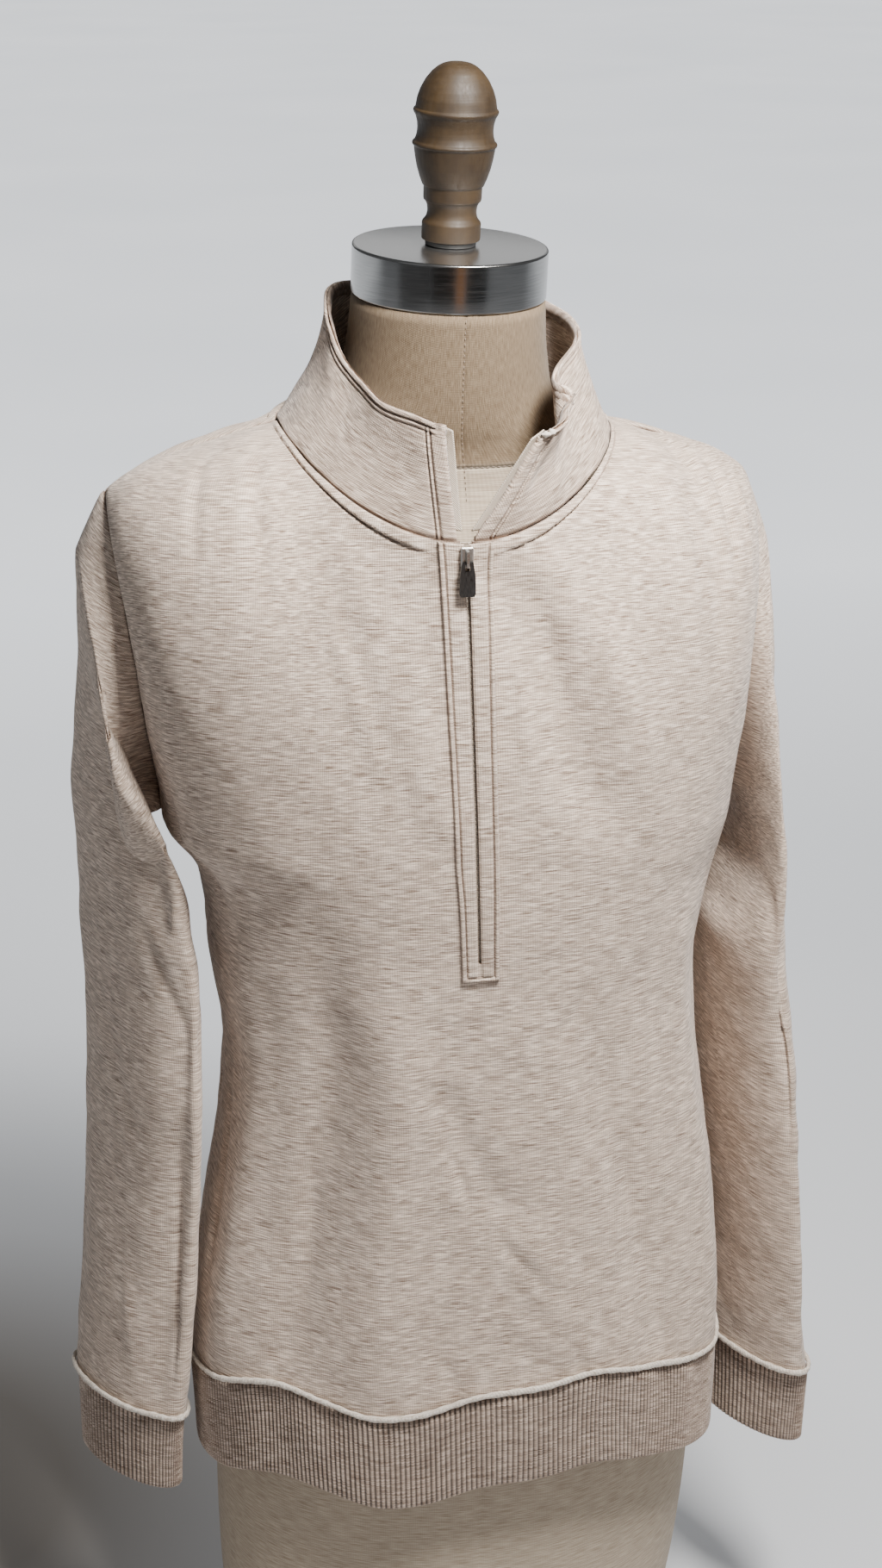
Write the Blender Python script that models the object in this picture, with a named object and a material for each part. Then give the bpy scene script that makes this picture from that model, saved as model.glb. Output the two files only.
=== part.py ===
"""A half-zip sweatshirt hanging on a limbless dress form. Metres, +Z up, front towards -Y.

The origin is on the form's flat base, under its neck. The plus side is at +X, the minus side at -X.
"""

import bmesh
import bpy
import numpy as np

# Sizes of the sweatshirt
WALL = 0.0018  # body cloth
RIB_WALL = 0.0030  # rib band, folded double
COLLAR_WALL = 0.0032  # body cloth, doubled
SEAM = 0.0003  # gap where two pieces meet
RIB_LIFT = 0.0008
SEAM_HEIGHT = 0.250  # hem seam at the sides
UNDERARM = 0.624
ARM_DEPTH = 0.048  # half the armhole's front to back size
ARM_Y = 0.010
SHOULDER_TIP = 0.8245
NECK_HALF = 0.097
NECK_FRONT = 0.120
NECK_BACK = 0.062
NECK_LOW = 0.821
NECK_SIDE = 0.862
NECK_HIGH = 0.878
NECK_SHARE = 0.44  # share of the top edge taken by the neckline
TUBE = 0.62  # share of a panel's height below the armhole
HEM_RIBS = 176
CUFF_RIBS = 40

# Sizes of the zip
ZIP_FOOT = 0.567
SLIT = 0.0028  # half the opening between the zip bands
BAND = 0.0105
BAND_WALL = 0.0012
TAPE_HALF = 0.0120
TAPE_WALL = 0.0008
COIL = 0.0012

# Sizes of the form
NECK_TOP = 0.9355
CAP_RADIUS = 0.0560
CAP_TALL = 0.0280
SHOULDER_SLANT = 0.030  # slope of the shoulders to the plus side
NECK_LEAN = 0.05  # forward slope of the neck
NECK_SLANT = 0.035  # slope of the neck and cap to the plus side

# The body, row by row from the hem: half widths, where the side seam lies, front and back reach, squareness
BODY = (
    ("height", "minus", "plus", "side", "front", "back", "square"),
    (
        (0.180, 0.160, 0.177, 0.004, -0.112, 0.121, 2.5),
        (0.250, 0.166, 0.180, 0.004, -0.112, 0.125, 2.5),
        (0.300, 0.163, 0.180, 0.006, -0.110, 0.124, 2.5),
        (0.360, 0.153, 0.176, 0.008, -0.110, 0.120, 2.4),
        (0.420, 0.143, 0.168, 0.010, -0.111, 0.116, 2.4),
        (0.480, 0.139, 0.160, 0.010, -0.113, 0.113, 2.4),
        (0.530, 0.146, 0.158, 0.010, -0.115, 0.112, 2.4),
        (0.575, 0.149, 0.164, 0.010, -0.118, 0.113, 2.5),
        (0.600, 0.155, 0.170, 0.010, -0.120, 0.114, 2.5),
        (0.624, 0.172, 0.176, 0.010, -0.121, 0.115, 2.6),
        (0.680, 0.184, 0.180, 0.010, -0.122, 0.116, 2.6),
        (0.740, 0.190, 0.183, 0.010, -0.121, 0.112, 2.5),
        (0.800, 0.196, 0.184, 0.010, -0.120, 0.098, 2.4),
        (0.880, 0.203, 0.185, 0.010, -0.119, 0.062, 2.4),
    ),
)

# The sleeve on the minus side: ring centre, half length and half width, turn seen from above, lift from upright
SLEEVE_MINUS = (
    ("ring", "x", "y", "z", "long", "short", "turn", "lift"),
    (
        (1, -0.2035, 0.014, 0.7010, 0.053, 0.0860, 0, 5),
        (2, -0.2035, 0.014, 0.6580, 0.062, 0.0650, 8, 10),
        (3, -0.1950, 0.012, 0.6130, 0.069, 0.0420, 23, 24),
        (4, -0.1920, 0.010, 0.5700, 0.073, 0.0240, 24, 50),
        (5, -0.1905, 0.007, 0.5250, 0.073, 0.0200, 26, 82),
        (6, -0.1920, 0.004, 0.4600, 0.070, 0.0200, 27, 90),
        (7, -0.1945, 0.004, 0.4000, 0.066, 0.0190, 30, 90),
        (8, -0.1980, 0.003, 0.3400, 0.062, 0.0190, 32, 90),
        (9, -0.2020, 0.001, 0.2850, 0.058, 0.0190, 34, 90),
        (10, -0.2075, 0.000, 0.2230, 0.053, 0.0190, 36, 90),
    ),
)
CUFF_MINUS = (
    ("ring", "x", "y", "z", "long", "short", "turn", "lift"),
    (
        (0, -0.2075, 0.000, 0.2224, 0.051, 0.0175, 36, 90),
        (1, -0.2085, 0.000, 0.1945, 0.048, 0.0175, 37, 90),
        (2, -0.2090, 0.000, 0.1665, 0.046, 0.0175, 38, 90),
    ),
)
SLEEVE_PLUS = (
    ("ring", "x", "y", "z", "long", "short", "turn", "lift"),
    (
        (1, 0.1895, 0.012, 0.7010, 0.053, 0.0860, 0, 2),
        (2, 0.1925, 0.010, 0.6560, 0.060, 0.0640, 3, 4),
        (3, 0.1930, 0.008, 0.6110, 0.066, 0.0400, 6, 8),
        (4, 0.1920, 0.008, 0.5700, 0.069, 0.0230, 9, 34),
        (5, 0.1895, 0.008, 0.5250, 0.068, 0.0180, 11, 80),
        (6, 0.1945, 0.005, 0.4650, 0.066, 0.0175, 14, 90),
        (7, 0.2015, 0.002, 0.3900, 0.063, 0.0175, 17, 90),
        (8, 0.2080, 0.000, 0.3200, 0.060, 0.0175, 18, 90),
        (9, 0.2110, 0.000, 0.2700, 0.056, 0.0175, 21, 90),
        (10, 0.2120, 0.000, 0.2225, 0.053, 0.0180, 26, 90),
    ),
)
CUFF_PLUS = (
    ("ring", "x", "y", "z", "long", "short", "turn", "lift"),
    (
        (0, 0.2120, 0.000, 0.2219, 0.051, 0.0175, 28, 90),
        (1, 0.2125, 0.000, 0.1930, 0.048, 0.0175, 29, 90),
        (2, 0.2125, 0.000, 0.1650, 0.046, 0.0175, 30, 90),
    ),
)

# How the hem seam waves across the front: lift above or below its plain line
HEM_WAVE = (
    ("u", "lift"),
    (
        (-1.00, 0.000),
        (-0.75, 0.004),
        (-0.55, 0.010),
        (-0.41, 0.003),
        (-0.28, -0.006),
        (-0.18, -0.006),
        (-0.04, 0.004),
        (0.12, 0.008),
        (0.23, 0.014),
        (0.38, 0.010),
        (0.60, 0.003),
        (1.00, 0.000),
    ),
)

# The collar's rim, walked from the zip edge on the minus side round the back to the other zip edge
COLLAR = (
    ("walk", "x", "y", "z", "bow"),
    (
        (3, -0.0168, -0.1188, 0.8850, 0.000),
        (15, -0.0280, -0.1080, 0.8890, 0.001),
        (30, -0.0440, -0.0870, 0.8920, 0.001),
        (45, -0.0545, -0.0620, 0.8990, 0.000),
        (62, -0.0610, -0.0380, 0.9070, -0.001),
        (90, -0.0660, 0.0040, 0.9280, -0.006),
        (120, -0.0600, 0.0400, 0.9350, -0.005),
        (150, -0.0360, 0.0610, 0.9340, -0.002),
        (180, 0.0000, 0.0670, 0.9320, -0.001),
        (210, 0.0380, 0.0610, 0.9300, -0.002),
        (240, 0.0640, 0.0440, 0.9240, -0.003),
        (270, 0.0770, 0.0060, 0.9180, -0.003),
        (292, 0.0745, -0.0260, 0.9140, -0.001),
        (310, 0.0630, -0.0540, 0.9060, 0.001),
        (326, 0.0520, -0.0790, 0.8970, 0.003),
        (340, 0.0540, -0.0950, 0.8900, 0.004),
        (350, 0.0510, -0.1110, 0.8840, 0.003),
        (357, 0.0380, -0.1215, 0.8785, 0.001),
    ),
)

# Soft folds of the panels: a line from (u, v) to (u, v), its half width in u, and its height (troughs below 0)
FOLD_COLUMNS = ("u0", "v0", "u1", "v1", "width", "height")
FRONT_FOLDS = (
    FOLD_COLUMNS,
    (
        (0.06, 0.93, 0.27, 0.66, 0.055, -0.0050),
        (0.16, 0.93, 0.40, 0.66, 0.050, 0.0035),
        (-0.20, 0.92, -0.06, 0.66, 0.050, 0.0025),
        (0.60, 0.98, 0.62, 0.74, 0.050, -0.0040),
        (-0.52, 0.00, -0.40, 0.52, 0.090, -0.0070),
        (-0.74, 0.02, -0.68, 0.48, 0.070, 0.0050),
        (-0.28, 0.00, -0.22, 0.45, 0.090, 0.0070),
        (0.46, 0.00, 0.30, 0.42, 0.080, -0.0050),
        (0.72, 0.02, 0.62, 0.52, 0.090, 0.0050),
        (-0.12, 0.38, 0.04, 0.22, 0.050, -0.0030),
        (0.10, 0.20, 0.20, 0.02, 0.060, 0.0030),
    ),
)
BACK_FOLDS = (
    FOLD_COLUMNS,
    (
        (-0.44, 0.02, -0.34, 0.50, 0.090, -0.0070),
        (-0.12, 0.02, -0.08, 0.46, 0.100, 0.0060),
        (0.22, 0.02, 0.16, 0.50, 0.090, -0.0060),
        (0.52, 0.02, 0.44, 0.52, 0.090, 0.0060),
        (-0.74, 0.04, -0.66, 0.52, 0.080, 0.0050),
        (-0.60, 0.94, -0.54, 0.66, 0.060, -0.0040),
        (0.60, 0.94, 0.54, 0.66, 0.060, -0.0040),
        (0.00, 0.95, 0.00, 0.62, 0.120, 0.0030),
    ),
)
# Soft folds of the sleeves: where round the ring and along the sleeve they start and end
SLEEVE_FOLDS_MINUS = (
    FOLD_COLUMNS,
    (
        (0.30, 0.50, 0.36, 0.98, 0.055, -0.0060),
        (0.40, 0.22, 0.34, 0.42, 0.050, -0.0040),
        (0.72, 0.30, 0.66, 0.90, 0.060, -0.0050),
    ),
)
SLEEVE_FOLDS_PLUS = (
    FOLD_COLUMNS,
    (
        (0.42, 0.30, 0.20, 0.62, 0.050, -0.0060),
        (0.34, 0.66, 0.30, 0.98, 0.060, -0.0040),
        (0.74, 0.30, 0.68, 0.90, 0.060, -0.0050),
    ),
)

# The form from its base up: half width, front and back reach, squareness
FORM = (
    ("height", "half", "shift", "front", "back", "square"),
    (
        (0.000, 0.146, 0.000, -0.086, 0.086, 2.2),
        (0.100, 0.157, 0.005, -0.089, 0.100, 2.2),
        (0.200, 0.159, 0.008, -0.091, 0.108, 2.2),
        (0.300, 0.148, 0.006, -0.090, 0.102, 2.2),
        (0.400, 0.126, 0.003, -0.086, 0.086, 2.2),
        (0.470, 0.116, 0.001, -0.084, 0.080, 2.2),
        (0.550, 0.124, 0.000, -0.092, 0.084, 2.2),
        (0.620, 0.136, 0.000, -0.106, 0.090, 2.2),
        (0.665, 0.144, 0.000, -0.109, 0.094, 2.3),
        (0.720, 0.156, 0.000, -0.103, 0.095, 2.4),
        (0.765, 0.164, 0.000, -0.090, 0.088, 2.4),
        (0.795, 0.166, 0.000, -0.074, 0.073, 2.4),
        (0.816, 0.162, 0.000, -0.062, 0.059, 2.3),
        (0.832, 0.152, 0.000, -0.055, 0.050, 2.2),
        (0.8452, 0.133, 0.000, -0.053, 0.046, 2.1),
        (0.8553, 0.106, 0.000, -0.053, 0.045, 2.0),
        (0.8669, 0.079, 0.000, -0.055, 0.047, 2.0),
        (0.884, 0.063, 0.000, -0.056, 0.050, 2.0),
        (0.900, 0.059, 0.000, -0.056, 0.053, 2.0),
        (NECK_TOP, 0.0555, 0.000, -0.0555, 0.0555, 2.0),
    ),
)

# The turned finial: height above the cap and radius
FINIAL = (
    (0.0000, 0.0163),
    (0.0080, 0.0166),
    (0.0135, 0.0142),
    (0.0175, 0.0138),
    (0.0215, 0.0160),
    (0.0250, 0.0166),
    (0.0320, 0.0168),
    (0.0430, 0.0205),
    (0.0500, 0.0232),
    (0.0545, 0.0238),
    (0.0585, 0.0228),
    (0.0625, 0.0208),
    (0.0665, 0.0212),
    (0.0705, 0.0234),
    (0.0735, 0.0238),
    (0.0775, 0.0228),
    (0.0845, 0.0188),
    (0.0915, 0.0135),
    (0.0960, 0.0088),
    (0.0978, 0.0040),
)


def ease(table, name, at):
    """A named column of a table, read between its rows along a smooth curve."""
    names, rows = table
    keys = np.array([row[0] for row in rows], float)
    values = np.array([row[names.index(name)] for row in rows], float)
    slopes = np.gradient(values, keys)
    at = np.clip(at, keys[0], keys[-1])
    i = np.clip(np.searchsorted(keys, at) - 1, 0, len(keys) - 2)
    span = keys[i + 1] - keys[i]
    t = (at - keys[i]) / span
    start = values[i] * (1 + 2 * t) * (1 - t) ** 2 + slopes[i] * span * t * (1 - t) ** 2
    end = values[i + 1] * t**2 * (3 - 2 * t) + slopes[i + 1] * span * t**2 * (t - 1)
    return start + end


def stack(x, y, z):
    return np.stack(np.broadcast_arrays(x, y, z), axis=-1)


def folds(table, u, v):
    """The height that a table's soft folds add at (u, v)."""
    total = np.zeros(np.broadcast(u, v).shape)
    for u0, v0, u1, v1, width, height in table[1]:
        along = (v - v0) / (v1 - v0)
        off = (u - u0 - (u1 - u0) * along) / width
        ends = np.clip(0.5 + 3.0 * (0.5 - np.abs(along - 0.5)), 0, 1)
        total = total + height * np.exp(-(off**2)) * ends**2 * (3 - 2 * ends)
    return total


def pushed(surface, u, v, table):
    """The surface with its folds raised along the way it faces."""
    step = 1e-3
    du = surface(np.clip(u + step, -1, 1), v) - surface(np.clip(u - step, -1, 1), v)
    dv = surface(u, np.clip(v + step, 0, 1)) - surface(u, np.clip(v - step, 0, 1))
    facing = np.cross(du, dv)
    facing = facing / np.maximum(np.linalg.norm(facing, axis=-1, keepdims=True), 1e-12)
    return surface(u, v) + facing * folds(table, u, v)[..., None]


def zip_x(height):
    """The zip leans a little to the plus side on its way down."""
    return -0.004 + 0.036 * (NECK_LOW - height)


def neckline(degrees):
    """The neck seam, turned from centre front (0) to the plus side (90) and the back (180)."""
    a = np.radians(degrees)
    front = np.cos(a) > 0
    x = NECK_HALF * np.sin(a) + np.where(front, zip_x(NECK_LOW) * np.cos(a) ** 2, 0)
    y = -np.cos(a) * np.where(front, NECK_FRONT, NECK_BACK)
    low = NECK_SIDE + (NECK_LOW - NECK_SIDE) * np.cos(a) ** 2
    high = NECK_SIDE + (NECK_HIGH - NECK_SIDE) * np.cos(a) ** 2
    return stack(x, y, np.where(front, low, high) - 0.03 * x)


def shoulder_tip(side):
    half = ease(BODY, "plus", SHOULDER_TIP) if side > 0 else ease(BODY, "minus", SHOULDER_TIP)
    return np.array([side * half, ARM_Y, SHOULDER_TIP])


def top_edge(face, u):
    """Neckline and shoulder seams as one line; face is -1 for the front and 1 for the back."""
    side = np.where(u < 0, -1.0, 1.0)
    turn = 90 * np.clip(np.abs(u) / NECK_SHARE, 0, 1)
    neck = neckline(side * (turn if face < 0 else 180 - turn))
    along = np.clip((np.abs(u) - NECK_SHARE) / (1 - NECK_SHARE), 0, 1)[..., None]
    tip = np.where(side[..., None] < 0, shoulder_tip(-1), shoulder_tip(1))
    sag = 0.004 * 4 * along * (1 - along) * np.array([0, 0, 1.0])
    return neck * (1 - along) + tip * along + sag


def edge(face, v):
    """Height and depth of a panel's side edge: side seam, then armhole."""
    rise = np.clip(v / TUBE, 0, 1)
    climb = np.clip((v - TUBE) / (1 - TUBE), 0, 1)
    centre, half = (UNDERARM + SHOULDER_TIP) / 2, (SHOULDER_TIP - UNDERARM) / 2
    turn = np.pi * (climb - 0.5)
    low = SEAM_HEIGHT + (UNDERARM - SEAM_HEIGHT) * rise
    z = np.where(v < TUBE, low, centre + half * np.sin(turn))
    y = np.where(v < TUBE, ease(BODY, "side", low), ARM_Y + face * ARM_DEPTH * np.cos(turn))
    return y, z, climb


def middle(face, v):
    """Height of a panel's middle line at v."""
    rise = np.clip(v / TUBE, 0, 1)
    climb = np.clip((v - TUBE) / (1 - TUBE), 0, 1)
    top = NECK_LOW if face < 0 else NECK_HIGH
    return 0.262 + (0.630 - 0.262) * rise + (top - 0.630) * climb


def middle_to_v(height):
    """The v at which the front's middle line has this height."""
    low = TUBE * (height - 0.262) / (0.630 - 0.262)
    high = TUBE + (1 - TUBE) * (height - 0.630) / (NECK_LOW - 0.630)
    return np.where(height < 0.630, low, high)


def smooth_panel(face, u, v):
    """A panel before its folds; u runs from the minus side to the plus side, v up from the hem seam."""
    u, v = np.broadcast_arrays(np.asarray(u, float), np.asarray(v, float))
    edge_y, edge_z, climb = edge(face, v)
    middle_z = middle(face, v)
    half = np.where(u < 0, ease(BODY, "minus", edge_z), ease(BODY, "plus", edge_z))
    reach = ease(BODY, "front" if face < 0 else "back", middle_z)
    square = ease(BODY, "square", middle_z)
    across = np.sin(np.pi * u / 2)
    round_off = np.maximum(1 - np.abs(across) ** square, 0) ** (1 / square)
    x = half * across + zip_x(middle_z) * (1 - across**2)
    y = edge_y + (reach - edge_y) * round_off
    z = middle_z + (edge_z - middle_z) * u**2
    if face < 0:
        z = z + ease(HEM_WAVE, "lift", u) * np.clip(1 - v / 0.3, 0, 1) ** 2
    top = climb**3.4
    edge_line = top_edge(face, u)
    foot = 0.630 + (UNDERARM - 0.630) * u**2
    arch = foot + (edge_line[..., 2] - foot) * np.sin(np.pi * climb / 2)
    shoulder = np.clip((np.abs(u) - 0.15) / 0.35, 0, 1)
    shoulder = np.where(climb > 0, shoulder**2 * (3 - 2 * shoulder), 0)
    z = z * (1 - top) + edge_line[..., 2] * top
    z = z * (1 - shoulder) + arch * shoulder
    x = x * (1 - top) + edge_line[..., 0] * top
    y = y * (1 - top) + edge_line[..., 1] * top
    return stack(x, y, z)


def front(u, v):
    return pushed(lambda a, b: smooth_panel(-1, a, b), u, v, FRONT_FOLDS)


def back(u, v):
    return pushed(lambda a, b: smooth_panel(1, -a, b), u, v, BACK_FOLDS)


def armhole(side, round_):
    """The armhole from the underarm (0) over the front (0.25) and shoulder (0.5) to the back (0.75)."""
    a = 2 * np.pi * round_
    centre, half = (UNDERARM + SHOULDER_TIP) / 2, (SHOULDER_TIP - UNDERARM) / 2
    z = centre - half * np.cos(a)
    clear = SEAM + (WALL + SEAM) * np.minimum(1.5 * np.abs(np.cos(a)), 1)
    x = ease(BODY, "plus" if side > 0 else "minus", z) + clear
    return stack(side * x, ARM_Y - ARM_DEPTH * np.sin(a), z)


def ring(table, row, side, round_):
    """A flattened ring of a sleeve or cuff: a quarter of the way round is its front lobe."""
    a = 2 * np.pi * round_
    turn, lift = np.radians(ease(table, "turn", row)), np.radians(ease(table, "lift", row))
    centre = stack(ease(table, "x", row), ease(table, "y", row), ease(table, "z", row))
    ahead = stack(np.sin(turn), -np.cos(turn), 0.0 * turn)
    out = stack(side * np.sin(lift) * np.cos(turn), side * np.sin(lift) * np.sin(turn), np.cos(lift))
    longways = (ease(table, "long", row) * np.sin(a))[..., None]
    sideways = (-ease(table, "short", row) * np.cos(a))[..., None]
    return centre + ahead * longways + out * sideways


def smooth_sleeve(table, side, round_, along):
    """A sleeve before its folds, from the armhole (0) to the cuff seam (1)."""
    round_, along = np.broadcast_arrays(np.asarray(round_, float), np.asarray(along, float))
    last = table[1][-1][0]
    row = along * last
    tube = ring(table, np.maximum(row, 1), side, round_)
    start = np.clip(1 - row, 0, 1)
    start = (start**2 * (3 - 2 * start))[..., None]
    return tube * (1 - start) + armhole(side, round_) * start


def sleeve(side, u, v):
    """u runs round the ring, -1 to 1, so that one sleeve winds the same way as the other faces out."""
    table, creases = (SLEEVE_PLUS, SLEEVE_FOLDS_PLUS) if side > 0 else (SLEEVE_MINUS, SLEEVE_FOLDS_MINUS)
    step = 1e-3
    round_ = (np.asarray(u, float) + 1) / 2
    here = smooth_sleeve(table, side, round_, v)
    du = smooth_sleeve(table, side, round_ + step, v) - smooth_sleeve(table, side, round_ - step, v)
    low, high = np.clip(v - step, 0, 1), np.clip(v + step, 0, 1)
    dv = smooth_sleeve(table, side, round_, high) - smooth_sleeve(table, side, round_, low)
    facing = -side * np.cross(du, dv)
    facing = facing / np.maximum(np.linalg.norm(facing, axis=-1, keepdims=True), 1e-12)
    return here + facing * folds(creases, round_, v)[..., None]


def collar(u, v):
    """The stand collar; u walks round it from zip edge to zip edge, v climbs from neck seam to rim."""
    walk = 180 + 177 * np.asarray(u, float)
    walk, v = np.broadcast_arrays(walk, np.asarray(v, float))
    foot = neckline(-walk) + np.array([0, 0, 0.0013])
    rim = stack(ease(COLLAR, "x", walk), ease(COLLAR, "y", walk), ease(COLLAR, "z", walk))
    out = np.array([1.0, 1.0, 0.0]) * foot
    out = out / np.linalg.norm(out, axis=-1, keepdims=True)
    bow = (ease(COLLAR, "bow", walk) * 4 * v * (1 - v))[..., None]
    return foot + (rim - foot) * v[..., None] + out * bow


def hem_ring(degrees, height):
    """The hem band's outside, from the front (0) to the plus side (90)."""
    a = np.radians(degrees)
    half = np.where(np.sin(a) < 0, ease(BODY, "minus", height), ease(BODY, "plus", height))
    side_y = ease(BODY, "side", height)
    reach = np.where(np.cos(a) > 0, ease(BODY, "front", height), ease(BODY, "back", height))
    square = ease(BODY, "square", height)
    across = np.sin(a)
    round_off = np.maximum(1 - np.abs(across) ** square, 0) ** (1 / square)
    x = half * across + zip_x(height) * (1 - across**2)
    return x, side_y + (reach - side_y) * round_off


def leaned(x, y, z):
    """A point of the neck, cap or finial after their lean, which starts at the neck's foot."""
    above = np.maximum(z - 0.86, 0)
    share = np.minimum(above / 0.05, 1)
    tip = (NECK_LEAN * y - NECK_SLANT * x) * share
    return stack(x + NECK_SLANT * above, y - NECK_LEAN * above, z + tip)


def form_ring(height, turns):
    a = 2 * np.pi * turns
    square = ease(FORM, "square", height)
    across, ahead = np.cos(a), np.sin(a)
    length = (np.abs(across) ** square + np.abs(ahead) ** square) ** (-1 / square)
    x = ease(FORM, "half", height) * across * length + ease(FORM, "shift", height)
    reach = np.where(ahead < 0, -ease(FORM, "front", height), ease(FORM, "back", height))
    share = np.clip((height - 0.76) / 0.06, 0, 1) * (1 - np.clip((height - 0.86) / 0.05, 0, 1))
    drop = SHOULDER_SLANT * share**2 * (3 - 2 * share)
    return leaned(x, reach * ahead * length, height - drop * x)


def material(name, colour, rough, metal=0.0):
    made = bpy.data.materials.new(name)
    made.use_nodes = True
    shader = made.node_tree.nodes["Principled BSDF"]
    shader.inputs["Base Color"].default_value = (*colour, 1.0)
    shader.inputs["Roughness"].default_value = rough
    shader.inputs["Metallic"].default_value = metal
    made.diffuse_color = (*colour, 1.0)
    return made


def finish(name, bm, stuff, origin=(0, 0, 0), smooth=True):
    """The mesh as a named object, with its origin where asked."""
    bmesh.ops.translate(bm, verts=bm.verts, vec=[-c for c in origin])
    mesh = bpy.data.meshes.new(name)
    bm.to_mesh(mesh)
    bm.free()
    for face in mesh.polygons:
        face.use_smooth = smooth
    mesh.materials.append(stuff)
    made = bpy.data.objects.new(name, mesh)
    made.location = origin
    bpy.context.scene.collection.objects.link(made)
    return made


def grid(surface, us, vs, closed=False, keep=None):
    """A grid of quads moved onto a surface; closed joins its two ends into a tube."""
    bm = bmesh.new()
    bmesh.ops.create_grid(bm, x_segments=len(us) - 1, y_segments=len(vs) - 1, size=1.0)
    columns = [round((v.co.x + 1) / 2 * (len(us) - 1)) for v in bm.verts]
    rows = [round((v.co.y + 1) / 2 * (len(vs) - 1)) for v in bm.verts]
    if keep:
        gone = [f for f in bm.faces if not keep(*cell(f, us, vs))]
        bmesh.ops.delete(bm, geom=gone, context="FACES_ONLY")
    points = surface(np.asarray(us)[columns], np.asarray(vs)[rows])
    for vertex, point in zip(bm.verts, points):
        vertex.co = point
    loose = [v for v in bm.verts if not v.link_faces]
    bmesh.ops.delete(bm, geom=loose, context="VERTS")
    if closed:
        bmesh.ops.remove_doubles(bm, verts=bm.verts, dist=1e-6)
    return bm


def cell(face, us, vs):
    """The (u, v) at the middle of a grid face that hasn't been moved yet."""
    middle_ = face.calc_center_median()
    u = np.interp((middle_.x + 1) / 2 * (len(us) - 1), range(len(us)), us)
    v = np.interp((middle_.y + 1) / 2 * (len(vs) - 1), range(len(vs)), vs)
    return u, v


def thicken(made, thickness):
    """A wall inwards from the mesh's outer face."""
    wall = made.modifiers.new("wall", "SOLIDIFY")
    wall.thickness = thickness
    wall.offset = -1
    wall.use_even_offset = False
    wall.use_rim = True
    return made


def profile_band(name, ring_point, count, profile, stuff):
    """A closed band: a small closed profile carried round a ring."""
    turns = np.arange(count + 1) / count
    parts = np.arange(len(profile) + 1)

    def surface(u, v):
        return ring_point(u, np.asarray([*profile, profile[0]])[np.round(v).astype(int)])

    bm = grid(surface, turns, parts, closed=True)
    bmesh.ops.recalc_face_normals(bm, faces=bm.faces)
    return finish(name, bm, stuff)


for old in list(bpy.data.objects):
    bpy.data.objects.remove(old, do_unlink=True)

CLOTH = material("heather_fleece", (0.56, 0.49, 0.42), 0.95)
RIB = material("heather_rib", (0.54, 0.46, 0.40), 0.95)
SEAM_ROLL = material("pale_seam", (0.72, 0.66, 0.58), 0.9)
TAPE = material("zip_tape", (0.62, 0.56, 0.48), 0.85)
METAL = material("zip_metal", (0.80, 0.79, 0.76), 0.3, 1.0)
LINEN = material("form_linen", (0.66, 0.60, 0.50), 0.95)
STEEL = material("brushed_steel", (0.70, 0.69, 0.67), 0.28, 1.0)
WOOD = material("turned_wood", (0.36, 0.24, 0.13), 0.45)
BLACK = material("black_washer", (0.03, 0.03, 0.03), 0.5)


def spread(inner, count):
    """Columns from an inner u out to the side edge."""
    return list(np.linspace(inner, 1.0, count))


# Front, slit for the zip
SLIT_U = 2 / np.pi * np.arcsin(SLIT / 0.18)
BAND_U = 2 / np.pi * np.arcsin((SLIT + BAND) / 0.18)
FOOT_V = float(middle_to_v(ZIP_FOOT))
side_columns = [SLIT_U, BAND_U, *spread(0.14, 10)]
front_columns = np.array([-u for u in reversed(side_columns)] + side_columns)
BOX_V = float(middle_to_v(ZIP_FOOT - 0.012))
BAND_TOP = 0.985
high_rows = list(np.linspace(FOOT_V, BAND_TOP, 11))
panel_rows = np.array([*np.linspace(0.001, BOX_V, 9), *high_rows, 1.0])


def trimmed(surface):
    """A panel drawn in from its side seams and from its shoulder seam."""

    def inner(u, v):
        gap = np.where(np.abs(u) > NECK_SHARE, 0.0010 + 0.0080 * u**6, 0)
        return surface(u * 0.9992, v * (1 - gap * np.clip(v * 50 - 49, 0, 1)))

    return inner


front_mesh = grid(
    trimmed(front), front_columns, panel_rows, keep=lambda u, v: abs(u) > SLIT_U or v < FOOT_V
)
thicken(finish("front", front_mesh, CLOTH), WALL)

# Back
back_columns = np.linspace(-1, 1, 23)
back_mesh = grid(trimmed(back), back_columns, np.linspace(0.001, 1.0, 17))
thicken(finish("back", back_mesh, CLOTH), WALL)

# Sleeves and cuffs
for side, name in ((-1, "right"), (1, "left")):
    rounds = np.linspace(-1, 1, 21) * -side
    tube = grid(lambda u, v: sleeve(side, u, v), rounds, np.linspace(0, 1, 17), closed=True)
    thicken(finish(f"sleeve_{name}", tube, CLOTH), WALL)


def cuff_point(table, side):
    def point(u, profile):
        a = ring(table, profile[..., 0] * 2, side, u)
        row = profile[..., 0] * 2
        centre = stack(ease(table, "x", row), ease(table, "y", row), a[..., 2])
        away = a - centre
        away = away / np.maximum(np.linalg.norm(away, axis=-1, keepdims=True), 1e-9)
        ridge = np.where(np.round(u * 2 * CUFF_RIBS) % 2 == 0, RIB_LIFT, 0.0) * profile[..., 2]
        return a + away * (ridge - profile[..., 1])[..., None]

    return point


# Profile columns: way down the band (0 to 1), depth in from the outside, share of the rib's height
BAND_PROFILE = ((0.0, 0.0, 1.0), (1.0, 0.0, 1.0), (1.0, RIB_WALL, 0.0), (0.0, RIB_WALL, 0.0))
profile_band("cuff_right", cuff_point(CUFF_MINUS, -1), 2 * CUFF_RIBS, BAND_PROFILE, RIB)
profile_band("cuff_left", cuff_point(CUFF_PLUS, 1), 2 * CUFF_RIBS, BAND_PROFILE, RIB)


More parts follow.
